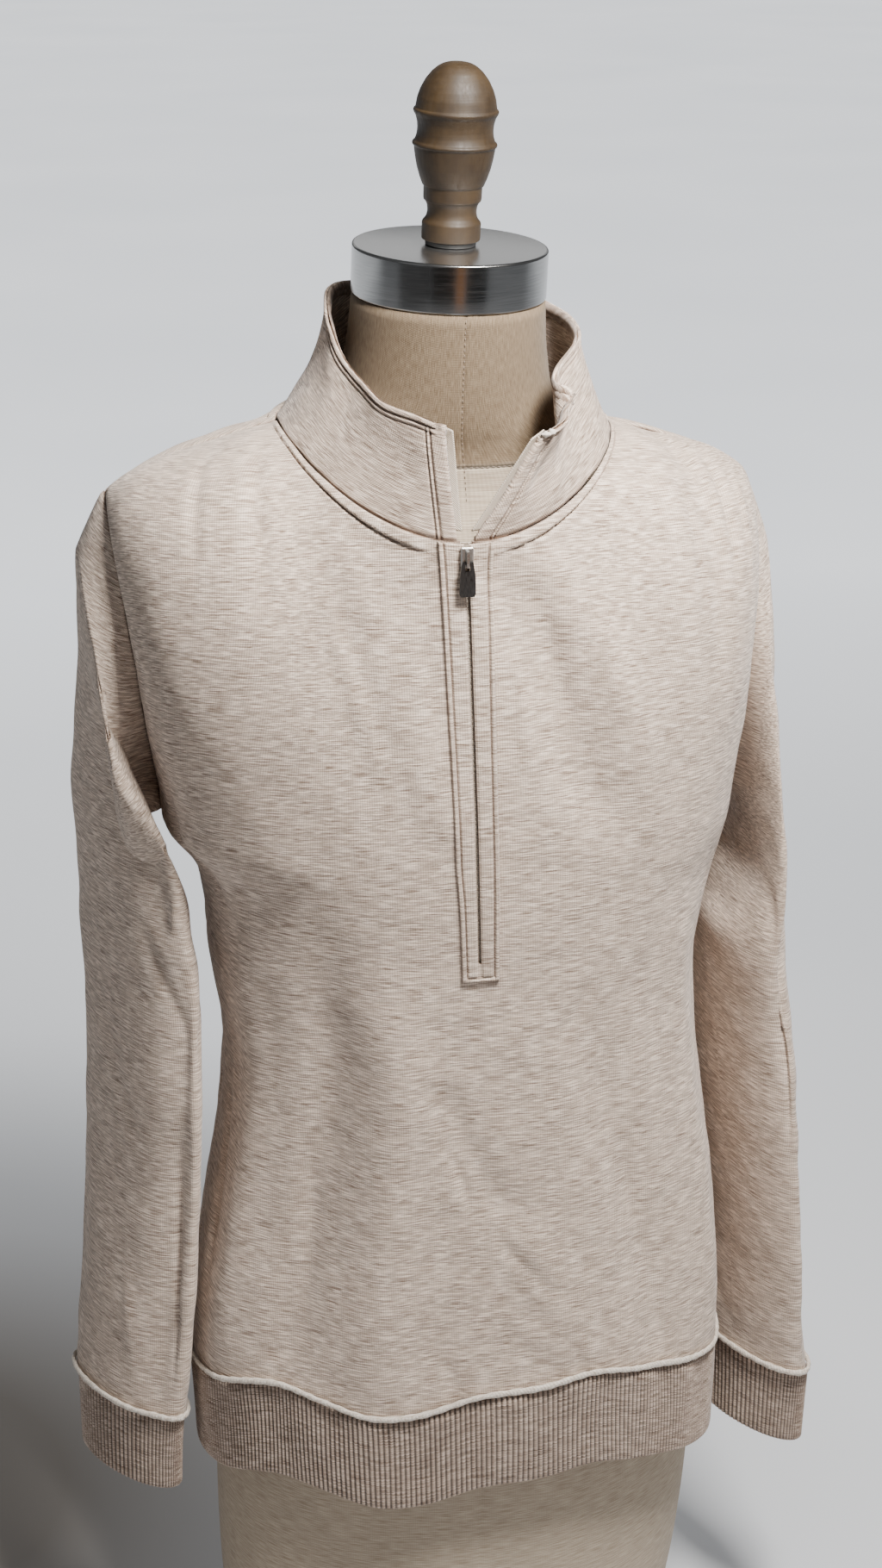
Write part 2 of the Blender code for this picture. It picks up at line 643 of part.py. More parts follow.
# Hem rib: it hangs from the body's lower edge
def seam_line(turn):
    """The lower edge of the body at a turn from the front (0) by the plus side (0.25)."""
    angle = (turn % 1.0) * 360
    ahead = np.cos(np.radians(angle)) > 0
    u = np.where(ahead, np.where(angle > 180, angle - 360, angle), 180 - angle) / 90
    return np.where(ahead[..., None], front(u, 0.0 * u), back(-u, 0.0 * u))


def hem_point(turn, profile):
    top = seam_line(turn)
    way = profile[..., 0]
    low_x, low_y = hem_ring((turn % 1.0) * 360, 0.186 + 0 * turn)
    drop = np.array([0.0, 0.0, 1.0]) * (0.0006 + 0.0665 * way)[..., None]
    ease_in = (0.35 * way)[..., None]
    plan = top * np.array([1, 1, 0])
    low = stack(low_x, low_y, 0 * low_x)
    here = plan * (1 - ease_in) + low * ease_in + top * np.array([0, 0, 1.0]) - drop
    out = here * np.array([1, 1, 0])
    out = out / np.linalg.norm(out, axis=-1, keepdims=True)
    ridge = np.where(np.round(turn * 2 * HEM_RIBS) % 2 == 0, RIB_LIFT, 0.0) * profile[..., 2]
    return here + out * (ridge - profile[..., 1])[..., None]


profile_band("hem_rib", hem_point, 2 * HEM_RIBS, BAND_PROFILE, RIB)

# Pale rolls of seam allowance above the rib seams
ROLL = 0.0013
ROLL_PROFILE = tuple((np.cos(t), np.sin(t)) for t in 2 * np.pi * np.arange(5) / 5)


def rolled(line):
    """A thin roll that lies against the outside of a seam line, just above it."""

    def point(turn, profile):
        here = line(turn)
        ahead = line(turn + 0.002) - line(turn - 0.002)
        out = np.cross(ahead, np.array([0.0, 0.0, 1.0]))
        out = out / np.linalg.norm(out, axis=-1, keepdims=True)
        lift = (0.0022 + ROLL * profile[..., 1])[..., None]
        stand = (ROLL * profile[..., 0] + ROLL + 2 * SEAM)[..., None]
        return here + out * stand + np.array([0, 0, 1.0]) * lift

    return point


profile_band("hem_roll", rolled(seam_line), 72, ROLL_PROFILE, SEAM_ROLL)


def cuff_line(side):
    return lambda turn: sleeve(side, (side * 2 * turn) % 2.0 - 1, 1.0 + 0 * turn)


profile_band("cuff_roll_right", rolled(cuff_line(-1)), 24, ROLL_PROFILE, SEAM_ROLL)
profile_band("cuff_roll_left", rolled(cuff_line(1)), 24, ROLL_PROFILE, SEAM_ROLL)

# Collar
collar_mesh = grid(collar, np.linspace(-1, 1, 37), np.linspace(0, 1, 5))
bmesh.ops.reverse_faces(collar_mesh, faces=collar_mesh.faces)
thicken(finish("collar", collar_mesh, CLOTH), COLLAR_WALL)

# Zip: stitched bands with a box at the foot, the joined tape below, a tape up each collar edge
def off_front(u, v, lift):
    """A point over (or, below 0, under) the outside of the front."""
    return pushed(front, u, v, (FOLD_COLUMNS, ((0, -9, 0, 9, 9, lift),)))


band_columns = [-BAND_U, -SLIT_U, SLIT_U, BAND_U]
band_rows = [BOX_V, *high_rows]
band_mesh = grid(
    lambda u, v: off_front(u, v, SEAM + BAND_WALL),
    band_columns,
    band_rows,
    keep=lambda u, v: abs(u) > SLIT_U or v < FOOT_V,
)
thicken(finish("zip_band", band_mesh, CLOTH), BAND_WALL)


def joined_tape(u, v):
    coil = np.where((np.abs(u) < 0.6 * SLIT_U) & (v > FOOT_V + 1e-4), COIL, 0.0)
    base = off_front(u, v, -WALL - 2 * SEAM)
    ahead = np.array([0.0, -1.0, 0.0])
    return base + ahead * coil[..., None]


TAPE_U = 2 / np.pi * np.arcsin(TAPE_HALF / 0.18)
tape_columns = [-TAPE_U, -0.75 * SLIT_U, -0.5 * SLIT_U, 0.5 * SLIT_U, 0.75 * SLIT_U, TAPE_U]
tape_mesh = grid(joined_tape, tape_columns, [BOX_V, FOOT_V, FOOT_V + 0.004, *high_rows[1:]])
thicken(finish("zip_tape", tape_mesh, TAPE), TAPE_WALL)


def collar_tape(side):
    """The tape along one collar edge: across runs from under the collar (0) to its free edge (1)."""

    def point(across, v):
        near = collar(side * (1 + 0 * v), v)
        inner = collar(side * (0.99 + 0 * v), v)
        along = near - inner
        along = along / np.linalg.norm(along, axis=-1, keepdims=True)
        above, below = np.clip(v + 0.01, 0, 1), v - 0.01
        up = collar(side * (1 + 0 * v), above) - collar(side * (1 + 0 * v), below)
        facing = np.cross(along, up) * side
        facing = facing / np.linalg.norm(facing, axis=-1, keepdims=True)
        reach = (-0.007 + 0.0105 * across)[..., None]
        depth = (COLLAR_WALL + 2 * SEAM + 2 * SEAM * (1 - across))[..., None]
        return near + along * reach + facing * depth

    return point


for side, name in ((-1, "right"), (1, "left")):
    strip = grid(collar_tape(side), [0.0, 0.64, 1.0], np.linspace(0.06, 0.97, 6))
    if side > 0:
        bmesh.ops.reverse_faces(strip, faces=strip.faces)
    thicken(finish(f"zip_tape_{name}", strip, TAPE), TAPE_WALL)


# Slider with its arch, and the pull tab that swings from it
def block(x, y, z, size, bevel):
    """A small box with its edges rounded."""
    bm = bmesh.new()
    bmesh.ops.create_cube(bm, size=1.0)
    bmesh.ops.scale(bm, vec=size, verts=bm.verts)
    bmesh.ops.translate(bm, vec=(x, y, z), verts=bm.verts)
    bmesh.ops.bevel(
        bm,
        geom=bm.edges,
        offset=bevel,
        offset_type="OFFSET",
        segments=1,
        profile=0.5,
        affect="EDGES",
        material=-1,
    )
    return bm


SLIDER_Z = 0.8135
slider_v = float(middle_to_v(SLIDER_Z))
slider_at = off_front(np.array([0.0]), np.array([slider_v]), SEAM + BAND_WALL + SEAM)[0]
face_y = float(slider_at[1]) - 0.0030
slider_x = float(slider_at[0])
slider_mesh = block(slider_x, face_y + 0.0014, SLIDER_Z, (0.0070, 0.0028, 0.0115), 0.0006)
slider = finish("zip_slider", slider_mesh, METAL, smooth=False)


def arch_point(u, v):
    """Side view of the arch: u stands out from the slider's face, v runs down it."""
    return stack(slider_x + 0 * u, face_y - u, SLIDER_Z + v)


arch_mesh = grid(
    arch_point,
    [-0.0010, 0.0022, 0.0034],
    [-0.0050, -0.0040, 0.0008, 0.0040],
    keep=lambda u, v: not (u < 0.0022 and -0.0040 < v < 0.0008),
)
bmesh.ops.recalc_face_normals(arch_mesh, faces=arch_mesh.faces)
arch = finish("slider_arch", arch_mesh, METAL, smooth=False)
arch.modifiers.new("wall", "SOLIDIFY").thickness = 0.0016
arch.modifiers["wall"].offset = 0
arch.hide_render = True
arch.display_type = "WIRE"
joined = slider.modifiers.new("arch", "BOOLEAN")
joined.operation = "UNION"
joined.solver = "EXACT"
joined.object = arch

# The pull's eye passes under the arch; its bar is the hinge
HINGE = (slider_x, face_y - 0.0011, SLIDER_Z - 0.0029)


def pull_point(u, v):
    """The tab hanging from its bar, a little wider towards its foot."""
    wide = np.interp(v, [-0.0190, -0.0175, -0.0060, 0.0007], [0.0036, 0.0045, 0.0042, 0.0030])
    x = np.where(np.abs(u) > 0.5, np.sign(u) * wide, np.sign(u) * 0.0015)
    return stack(x, 0 * u, v)


pull_mesh = grid(
    pull_point,
    [-1.0, -0.4, 0.4, 1.0],
    [-0.0190, -0.0175, -0.0060, -0.0045, -0.0007, 0.0007],
    keep=lambda u, v: not (abs(u) < 0.4 and -0.0045 < v < -0.0007),
)
pull = finish("zip_pull", pull_mesh, METAL, smooth=False)
pull.location = HINGE
pull_wall = pull.modifiers.new("wall", "SOLIDIFY")
pull_wall.thickness = 0.0014
pull_wall.offset = 0

# The form
torso = grid(lambda u, v: form_ring(v, u), np.arange(29) / 28, np.array([r[0] for r in FORM[1]]), closed=True)
bmesh.ops.holes_fill(torso, edges=torso.edges, sides=0)
bmesh.ops.recalc_face_normals(torso, faces=torso.faces)
finish("form_torso", torso, LINEN)


def turned(name, outline, foot, sides, stuff):
    """A turned piece that leans forward with the neck; outline gives height and radius."""
    bm = bmesh.new()
    points = [bm.verts.new((r, 0, h)) for h, r in outline]
    edges = [bm.edges.new(pair) for pair in zip(points, points[1:])]
    bmesh.ops.spin(
        bm, geom=points + edges, axis=(0, 0, 1), cent=(0, 0, 0), angle=2 * np.pi, steps=sides, use_merge=True
    )
    bmesh.ops.remove_doubles(bm, verts=bm.verts, dist=1e-6)
    bmesh.ops.holes_fill(bm, edges=bm.edges, sides=0)
    bmesh.ops.recalc_face_normals(bm, faces=bm.faces)
    for vertex in bm.verts:
        vertex.co = leaned(vertex.co.x, vertex.co.y, vertex.co.z + foot)
    return finish(name, bm, stuff)


# The neck cap: height and radius
CAP = (
    (0.0000, CAP_RADIUS - 0.0015),
    (0.0010, CAP_RADIUS),
    (CAP_TALL - 0.0020, CAP_RADIUS),
    (CAP_TALL, CAP_RADIUS - 0.0018),
)
turned("neck_cap", CAP, NECK_TOP + SEAM, 40, STEEL)
turned("finial_washer", ((0.0, 0.0145), (0.0026, 0.0145)), NECK_TOP + CAP_TALL + 2 * SEAM, 24, BLACK)
turned("finial", FINIAL, NECK_TOP + CAP_TALL + 0.0026 + 3 * SEAM, 24, WOOD)
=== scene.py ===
"""A half-zip sweatshirt filled out by a limbless dress form. Metres, +Z up, front towards -Y."""

import bmesh
import bpy
import numpy as np
from mathutils import Matrix, Vector


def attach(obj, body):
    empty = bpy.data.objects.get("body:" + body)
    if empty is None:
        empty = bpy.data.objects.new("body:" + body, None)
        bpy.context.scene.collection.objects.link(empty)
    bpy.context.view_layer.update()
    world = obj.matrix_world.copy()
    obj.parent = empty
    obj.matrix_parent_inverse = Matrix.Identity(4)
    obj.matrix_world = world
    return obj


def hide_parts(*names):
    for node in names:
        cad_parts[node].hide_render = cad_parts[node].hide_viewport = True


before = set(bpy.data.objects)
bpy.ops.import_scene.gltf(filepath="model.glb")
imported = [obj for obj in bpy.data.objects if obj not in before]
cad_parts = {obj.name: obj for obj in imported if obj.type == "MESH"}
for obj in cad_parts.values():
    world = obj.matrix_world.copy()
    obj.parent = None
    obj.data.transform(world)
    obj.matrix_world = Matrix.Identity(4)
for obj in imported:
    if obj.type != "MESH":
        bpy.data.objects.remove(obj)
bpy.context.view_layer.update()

BODY_NAME = "sweatshirt_on_form"

# Sizes of the sweatshirt
WALL = 0.0018  # body cloth
RIB_WALL = 0.0030  # rib band, folded double
COLLAR_WALL = 0.0032  # body cloth, doubled
SEAM = 0.0003  # gap where two pieces meet
SEAM_HEIGHT = 0.250  # hem seam at the sides
UNDERARM = 0.624
ARM_DEPTH = 0.048  # half the armhole's front to back size
ARM_Y = 0.010  # middle of the armhole, front to back
SHOULDER_TIP = 0.8245
NECK_HALF = 0.097
NECK_FRONT = 0.120
NECK_BACK = 0.062
NECK_LOW = 0.821
NECK_SIDE = 0.862
NECK_HIGH = 0.878
NECK_SHARE = 0.44  # share of the top edge taken by the neckline
TUBE = 0.62  # share of a panel's height below the armhole
MIDDLE_FOOT = 0.262  # the panels' middle line at the hem seam
MIDDLE_ARM = 0.630  # and level with the underarm
TUCK = 0.0004  # how far a sleeve's start lies in from the panels' edges
COLLAR_FOOT = 0.0013  # the collar's foot above the neck seam

# Sizes of the zip
ZIP_FOOT = 0.567
ZIP_X = -0.004  # where the zip meets the neck seam
ZIP_LEAN = 0.036  # and how far it runs to the plus side on its way down
SLIT = 0.0028  # half the opening between the zip bands
BAND = 0.0105  # width of a zip band
BAND_WALL = 0.0012
TAPE_HALF = 0.0120
TAPE_WALL = 0.0008
COIL = 0.0012  # how far the zip's teeth stand out

# Sizes of the form
NECK_TOP = 0.9355
CAP_RADIUS = 0.0560
CAP_TALL = 0.0280
WASHER_TALL = 0.0026
NECK_FOOT = 0.86  # the neck leans from here up
NECK_BEND = 0.05  # height over which that lean sets in
NECK_SEAM = 0.846
SHOULDER_SLANT = 0.030  # slope of the shoulders to the plus side
NECK_LEAN = 0.05  # forward slope of the neck
NECK_SLANT = 0.035  # slope of the neck and cap to the plus side

# The body, row by row from the hem: half widths, where the side seam lies, front and back reach,
# squareness
BODY = (
    ("height", "minus", "plus", "side", "front", "back", "square"),
    (
        (0.180, 0.160, 0.177, 0.004, -0.112, 0.121, 2.5),
        (0.250, 0.166, 0.180, 0.004, -0.112, 0.125, 2.5),
        (0.300, 0.163, 0.180, 0.006, -0.110, 0.124, 2.5),
        (0.360, 0.153, 0.176, 0.008, -0.110, 0.120, 2.4),
        (0.420, 0.143, 0.168, 0.010, -0.111, 0.116, 2.4),
        (0.480, 0.139, 0.160, 0.010, -0.113, 0.113, 2.4),
        (0.530, 0.146, 0.158, 0.010, -0.115, 0.112, 2.4),
        (0.575, 0.149, 0.164, 0.010, -0.118, 0.113, 2.5),
        (0.600, 0.155, 0.170, 0.010, -0.120, 0.114, 2.5),
        (0.624, 0.172, 0.176, 0.010, -0.121, 0.115, 2.6),
        (0.680, 0.184, 0.180, 0.010, -0.122, 0.116, 2.6),
        (0.740, 0.190, 0.183, 0.010, -0.121, 0.112, 2.5),
        (0.800, 0.196, 0.184, 0.010, -0.120, 0.098, 2.4),
        (0.880, 0.203, 0.185, 0.010, -0.119, 0.062, 2.4),
    ),
)

RING_COLUMNS = ("ring", "x", "y", "z", "long", "short", "turn", "lift")
# The sleeve on the minus side: ring centre, half length and half width, turn seen from above, lift
# from upright
SLEEVE_MINUS = (
    RING_COLUMNS,
    (
        (1, -0.2035, 0.014, 0.7010, 0.053, 0.0860, 0, 5),
        (2, -0.2035, 0.014, 0.6580, 0.062, 0.0650, 8, 10),
        (3, -0.1950, 0.012, 0.6130, 0.069, 0.0420, 23, 24),
        (4, -0.1920, 0.010, 0.5700, 0.073, 0.0240, 24, 50),
        (5, -0.1905, 0.007, 0.5250, 0.073, 0.0200, 26, 82),
        (6, -0.1920, 0.004, 0.4600, 0.070, 0.0200, 27, 90),
        (7, -0.1945, 0.004, 0.4000, 0.066, 0.0190, 30, 90),
        (8, -0.1980, 0.003, 0.3400, 0.062, 0.0190, 32, 90),
        (9, -0.2020, 0.001, 0.2850, 0.058, 0.0190, 34, 90),
        (10, -0.2075, 0.000, 0.2230, 0.053, 0.0190, 36, 90),
    ),
)
CUFF_MINUS = (
    RING_COLUMNS,
    (
        (0, -0.2075, 0.000, 0.2224, 0.051, 0.0175, 36, 90),
        (1, -0.2085, 0.000, 0.1945, 0.048, 0.0175, 37, 90),
        (2, -0.2090, 0.000, 0.1665, 0.046, 0.0175, 38, 90),
    ),
)
SLEEVE_PLUS = (
    RING_COLUMNS,
    (
        (1, 0.1895, 0.012, 0.7010, 0.053, 0.0860, 0, 2),
        (2, 0.1925, 0.010, 0.6560, 0.060, 0.0640, 3, 4),
        (3, 0.1930, 0.008, 0.6110, 0.066, 0.0400, 6, 8),
        (4, 0.1920, 0.008, 0.5700, 0.069, 0.0230, 9, 34),
        (5, 0.1895, 0.008, 0.5250, 0.068, 0.0180, 11, 80),
        (6, 0.1945, 0.005, 0.4650, 0.066, 0.0175, 14, 90),
        (7, 0.2015, 0.002, 0.3900, 0.063, 0.0175, 17, 90),
        (8, 0.2080, 0.000, 0.3200, 0.060, 0.0175, 18, 90),
        (9, 0.2110, 0.000, 0.2700, 0.056, 0.0175, 21, 90),
        (10, 0.2120, 0.000, 0.2225, 0.053, 0.0180, 26, 90),
    ),
)
CUFF_PLUS = (
    RING_COLUMNS,
    (
        (0, 0.2120, 0.000, 0.2219, 0.051, 0.0175, 28, 90),
        (1, 0.2125, 0.000, 0.1930, 0.048, 0.0175, 29, 90),
        (2, 0.2125, 0.000, 0.1650, 0.046, 0.0175, 30, 90),
    ),
)

# How the hem seam waves across the front: lift above or below its plain line
HEM_WAVE = (
    ("u", "lift"),
    (
        (-1.00, 0.000),
        (-0.75, 0.004),
        (-0.55, 0.010),
        (-0.41, 0.003),
        (-0.28, -0.006),
        (-0.18, -0.006),
        (-0.04, 0.004),
        (0.12, 0.008),
        (0.23, 0.014),
        (0.38, 0.010),
        (0.60, 0.003),
        (1.00, 0.000),
    ),
)

# The collar's rim, walked from the zip edge on the minus side round the back to the other zip edge
COLLAR = (
    ("walk", "x", "y", "z", "bow"),
    (
        (3, -0.0168, -0.1188, 0.8850, 0.000),
        (15, -0.0280, -0.1080, 0.8890, 0.001),
        (30, -0.0440, -0.0870, 0.8920, 0.001),
        (45, -0.0545, -0.0620, 0.8990, 0.000),
        (62, -0.0610, -0.0380, 0.9070, -0.001),
        (90, -0.0660, 0.0040, 0.9280, -0.006),
        (120, -0.0600, 0.0400, 0.9350, -0.005),
        (150, -0.0360, 0.0610, 0.9340, -0.002),
        (180, 0.0000, 0.0670, 0.9320, -0.001),
        (210, 0.0380, 0.0610, 0.9300, -0.002),
        (240, 0.0640, 0.0440, 0.9240, -0.003),
        (270, 0.0770, 0.0060, 0.9180, -0.003),
        (292, 0.0745, -0.0260, 0.9140, -0.001),
        (310, 0.0630, -0.0540, 0.9060, 0.001),
        (326, 0.0520, -0.0790, 0.8970, 0.003),
        (340, 0.0540, -0.0950, 0.8900, 0.004),
        (350, 0.0510, -0.1110, 0.8840, 0.003),
        (357, 0.0380, -0.1215, 0.8785, 0.001),
    ),
)

# Soft folds of the panels: a line from (u, v) to (u, v), its half width in u and its height, which is
# below 0 for a trough
FRONT_FOLDS = (
    (0.06, 0.93, 0.27, 0.66, 0.055, -0.0050), (0.16, 0.93, 0.40, 0.66, 0.050, 0.0035),
    (-0.20, 0.92, -0.06, 0.66, 0.050, 0.0025), (0.60, 0.98, 0.62, 0.74, 0.050, -0.0040),
    (-0.52, 0.00, -0.40, 0.52, 0.090, -0.0070), (-0.74, 0.02, -0.68, 0.48, 0.070, 0.0050),
    (-0.28, 0.00, -0.22, 0.45, 0.090, 0.0070), (0.46, 0.00, 0.30, 0.42, 0.080, -0.0050),
    (0.72, 0.02, 0.62, 0.52, 0.090, 0.0050), (-0.12, 0.38, 0.04, 0.22, 0.050, -0.0030),
    (0.10, 0.20, 0.20, 0.02, 0.060, 0.0030),
)
BACK_FOLDS = (
    (-0.44, 0.02, -0.34, 0.50, 0.090, -0.0070), (-0.12, 0.02, -0.08, 0.46, 0.100, 0.0060),
    (0.22, 0.02, 0.16, 0.50, 0.090, -0.0060), (0.52, 0.02, 0.44, 0.52, 0.090, 0.0060),
    (-0.74, 0.04, -0.66, 0.52, 0.080, 0.0050), (-0.60, 0.94, -0.54, 0.66, 0.060, -0.0040),
    (0.60, 0.94, 0.54, 0.66, 0.060, -0.0040), (0.00, 0.95, 0.00, 0.62, 0.120, 0.0030),
)
# Soft folds of the sleeves: where round the ring and along the sleeve they start and end
SLEEVE_FOLDS_MINUS = (
    (0.30, 0.50, 0.36, 0.98, 0.055, -0.0060), (0.40, 0.22, 0.34, 0.42, 0.050, -0.0040),
    (0.72, 0.30, 0.66, 0.90, 0.060, -0.0050),
)
SLEEVE_FOLDS_PLUS = (
    (0.42, 0.30, 0.20, 0.62, 0.050, -0.0060), (0.34, 0.66, 0.30, 0.98, 0.060, -0.0040),
    (0.74, 0.30, 0.68, 0.90, 0.060, -0.0050),
)

# The form from its base up: half width, front and back reach, squareness
FORM = (
    ("height", "half", "shift", "front", "back", "square"),
    (
        (0.000, 0.146, 0.000, -0.086, 0.086, 2.2),
        (0.100, 0.157, 0.005, -0.089, 0.100, 2.2),
        (0.200, 0.159, 0.008, -0.091, 0.108, 2.2),
        (0.300, 0.148, 0.006, -0.090, 0.102, 2.2),
        (0.400, 0.126, 0.003, -0.086, 0.086, 2.2),
        (0.470, 0.116, 0.001, -0.084, 0.080, 2.2),
        (0.550, 0.124, 0.000, -0.092, 0.084, 2.2),
        (0.620, 0.136, 0.000, -0.106, 0.090, 2.2),
        (0.665, 0.144, 0.000, -0.109, 0.094, 2.3),
        (0.720, 0.156, 0.000, -0.103, 0.095, 2.4),
        (0.765, 0.164, 0.000, -0.090, 0.088, 2.4),
        (0.795, 0.166, 0.000, -0.074, 0.073, 2.4),
        (0.816, 0.162, 0.000, -0.062, 0.059, 2.3),
        (0.832, 0.152, 0.000, -0.055, 0.050, 2.2),
        (0.8452, 0.133, 0.000, -0.053, 0.046, 2.1),
        (0.8553, 0.106, 0.000, -0.053, 0.045, 2.0),
        (0.8669, 0.079, 0.000, -0.055, 0.047, 2.0),
        (0.884, 0.063, 0.000, -0.056, 0.050, 2.0),
        (0.900, 0.059, 0.000, -0.056, 0.053, 2.0),
        (NECK_TOP, 0.0555, 0.000, -0.0555, 0.0555, 2.0),
    ),
)


def ease(table, name, at):
    """A named column of a table, read between its rows along a smooth curve."""
    names, rows = table
    keys = np.array([row[0] for row in rows], float)
    values = np.array([row[names.index(name)] for row in rows], float)
    slopes = np.gradient(values, keys)
    at = np.clip(at, keys[0], keys[-1])
    i = np.clip(np.searchsorted(keys, at) - 1, 0, len(keys) - 2)
    span = keys[i + 1] - keys[i]
    t = (at - keys[i]) / span
    start = values[i] * (1 + 2 * t) * (1 - t) ** 2 + slopes[i] * span * t * (1 - t) ** 2
    end = values[i + 1] * t**2 * (3 - 2 * t) + slopes[i + 1] * span * t**2 * (t - 1)
    return start + end


def stack(x, y, z):
    return np.stack(np.broadcast_arrays(x, y, z), axis=-1)


UP = np.array([0.0, 0.0, 1.0])
LEVEL = np.array([1.0, 1.0, 0.0])


def unit(ways):
    return ways / np.maximum(np.linalg.norm(ways, axis=-1, keepdims=True), 1e-12)


def soft(t):
    """A straight 0 to 1 made to start and end gently."""
    return t**2 * (3 - 2 * t)


def folds(table, u, v):
    """The height that a table's soft folds add at (u, v)."""
    total = np.zeros(np.broadcast(u, v).shape)
    for u0, v0, u1, v1, width, height in table:
        along = (v - v0) / (v1 - v0)
        off = (u - u0 - (u1 - u0) * along) / width
        ends = np.clip(0.5 + 3.0 * (0.5 - np.abs(along - 0.5)), 0, 1)
        total = total + height * np.exp(-(off**2)) * soft(ends)
    return total


STEP = 1e-3  # step in u or v for the slope of a surface


def pushed(surface, u, v, table):
    """The surface with its folds raised along the way it faces."""
    du = surface(np.clip(u + STEP, -1, 1), v) - surface(np.clip(u - STEP, -1, 1), v)
    dv = surface(u, np.clip(v + STEP, 0, 1)) - surface(u, np.clip(v - STEP, 0, 1))
    return surface(u, v) + unit(np.cross(du, dv)) * folds(table, u, v)[..., None]


def zip_x(height):
    """The zip leans a little to the plus side on its way down."""
    return ZIP_X + ZIP_LEAN * (NECK_LOW - height)


def neckline(degrees):
    """The neck seam, turned from centre front (0) to the plus side (90) and the back (180)."""
    a = np.radians(degrees)
    front = np.cos(a) > 0
    x = NECK_HALF * np.sin(a) + np.where(front, zip_x(NECK_LOW) * np.cos(a) ** 2, 0)
    y = -np.cos(a) * np.where(front, NECK_FRONT, NECK_BACK)
    low = NECK_SIDE + (NECK_LOW - NECK_SIDE) * np.cos(a) ** 2
    high = NECK_SIDE + (NECK_HIGH - NECK_SIDE) * np.cos(a) ** 2
    return stack(x, y, np.where(front, low, high) - 0.03 * x)


def shoulder_tip(side):
    half = ease(BODY, "plus", SHOULDER_TIP) if side > 0 else ease(BODY, "minus", SHOULDER_TIP)
    return np.array([side * half, ARM_Y, SHOULDER_TIP])


def top_edge(face, u):
    """Neckline and shoulder seams as one line; face is -1 for the front and 1 for the back."""
    side = np.where(u < 0, -1.0, 1.0)
    turn = 90 * np.clip(np.abs(u) / NECK_SHARE, 0, 1)
    neck = neckline(side * (turn if face < 0 else 180 - turn))
    along = np.clip((np.abs(u) - NECK_SHARE) / (1 - NECK_SHARE), 0, 1)[..., None]
    tip = np.where(side[..., None] < 0, shoulder_tip(-1), shoulder_tip(1))
    sag = 0.004 * 4 * along * (1 - along) * UP
    return neck * (1 - along) + tip * along + sag


def edge(face, v):
    """Height and depth of a panel's side edge: side seam, then armhole."""
    rise = np.clip(v / TUBE, 0, 1)
    climb = np.clip((v - TUBE) / (1 - TUBE), 0, 1)
    centre, half = (UNDERARM + SHOULDER_TIP) / 2, (SHOULDER_TIP - UNDERARM) / 2
    turn = np.pi * (climb - 0.5)
    low = SEAM_HEIGHT + (UNDERARM - SEAM_HEIGHT) * rise
    z = np.where(v < TUBE, low, centre + half * np.sin(turn))
    y = np.where(v < TUBE, ease(BODY, "side", low), ARM_Y + face * ARM_DEPTH * np.cos(turn))
    return y, z, climb


def middle(face, v):
    """Height of a panel's middle line at v."""
    rise = np.clip(v / TUBE, 0, 1)
    climb = np.clip((v - TUBE) / (1 - TUBE), 0, 1)
    top = NECK_LOW if face < 0 else NECK_HIGH
    return MIDDLE_FOOT + (MIDDLE_ARM - MIDDLE_FOOT) * rise + (top - MIDDLE_ARM) * climb


def middle_to_v(height):
    """The v at which the front's middle line has this height."""
    low = TUBE * (height - MIDDLE_FOOT) / (MIDDLE_ARM - MIDDLE_FOOT)
    high = TUBE + (1 - TUBE) * (height - MIDDLE_ARM) / (NECK_LOW - MIDDLE_ARM)
    return np.where(height < MIDDLE_ARM, low, high)


def rounding(across, square):
    """How far a squared-off ellipse reaches at this share of its half width."""
    return np.maximum(1 - np.abs(across) ** square, 0) ** (1 / square)


def smooth_panel(face, u, v):
    """A panel before its folds; u runs from the minus side to the plus side, v up from the hem seam."""
    u, v = np.broadcast_arrays(np.asarray(u, float), np.asarray(v, float))
    edge_y, edge_z, climb = edge(face, v)
    middle_z = middle(face, v)
    half = np.where(u < 0, ease(BODY, "minus", edge_z), ease(BODY, "plus", edge_z))
    reach = ease(BODY, "front" if face < 0 else "back", middle_z)
    square = ease(BODY, "square", middle_z)
    across = np.sin(np.pi * u / 2)
    round_off = rounding(across, square)
    x = half * across + zip_x(middle_z) * (1 - across**2)
    y = edge_y + (reach - edge_y) * round_off
    z = middle_z + (edge_z - middle_z) * u**2
    if face < 0:
        z = z + ease(HEM_WAVE, "lift", u) * np.clip(1 - v / 0.3, 0, 1) ** 2
    top = climb**3.4
    edge_line = top_edge(face, u)
    foot = MIDDLE_ARM + (UNDERARM - MIDDLE_ARM) * u**2
    arch = foot + (edge_line[..., 2] - foot) * np.sin(np.pi * climb / 2)
    shoulder = np.where(climb > 0, soft(np.clip((np.abs(u) - 0.15) / 0.35, 0, 1)), 0)
    z = z * (1 - top) + edge_line[..., 2] * top
    z = z * (1 - shoulder) + arch * shoulder
    x = x * (1 - top) + edge_line[..., 0] * top
    y = y * (1 - top) + edge_line[..., 1] * top
    return stack(x, y, z)


def front(u, v):
    return pushed(lambda a, b: smooth_panel(-1, a, b), u, v, FRONT_FOLDS)


def back(u, v):
    return pushed(lambda a, b: smooth_panel(1, -a, b), u, v, BACK_FOLDS)


def armhole(side, round_):
    """The panels' side edges from the underarm (0) over the front (0.25) and shoulder (0.5) to the back."""
    round_ = np.asarray(round_, float) % 1.0
    v = TUBE + (1 - TUBE) * (1 - np.abs(2 * round_ - 1))
    u = side + 0 * v
    line = np.where(round_[..., None] < 0.5, smooth_panel(-1, u, v), smooth_panel(1, u, v))
    return line - TUCK * np.array([side, 0.0, 0.0])


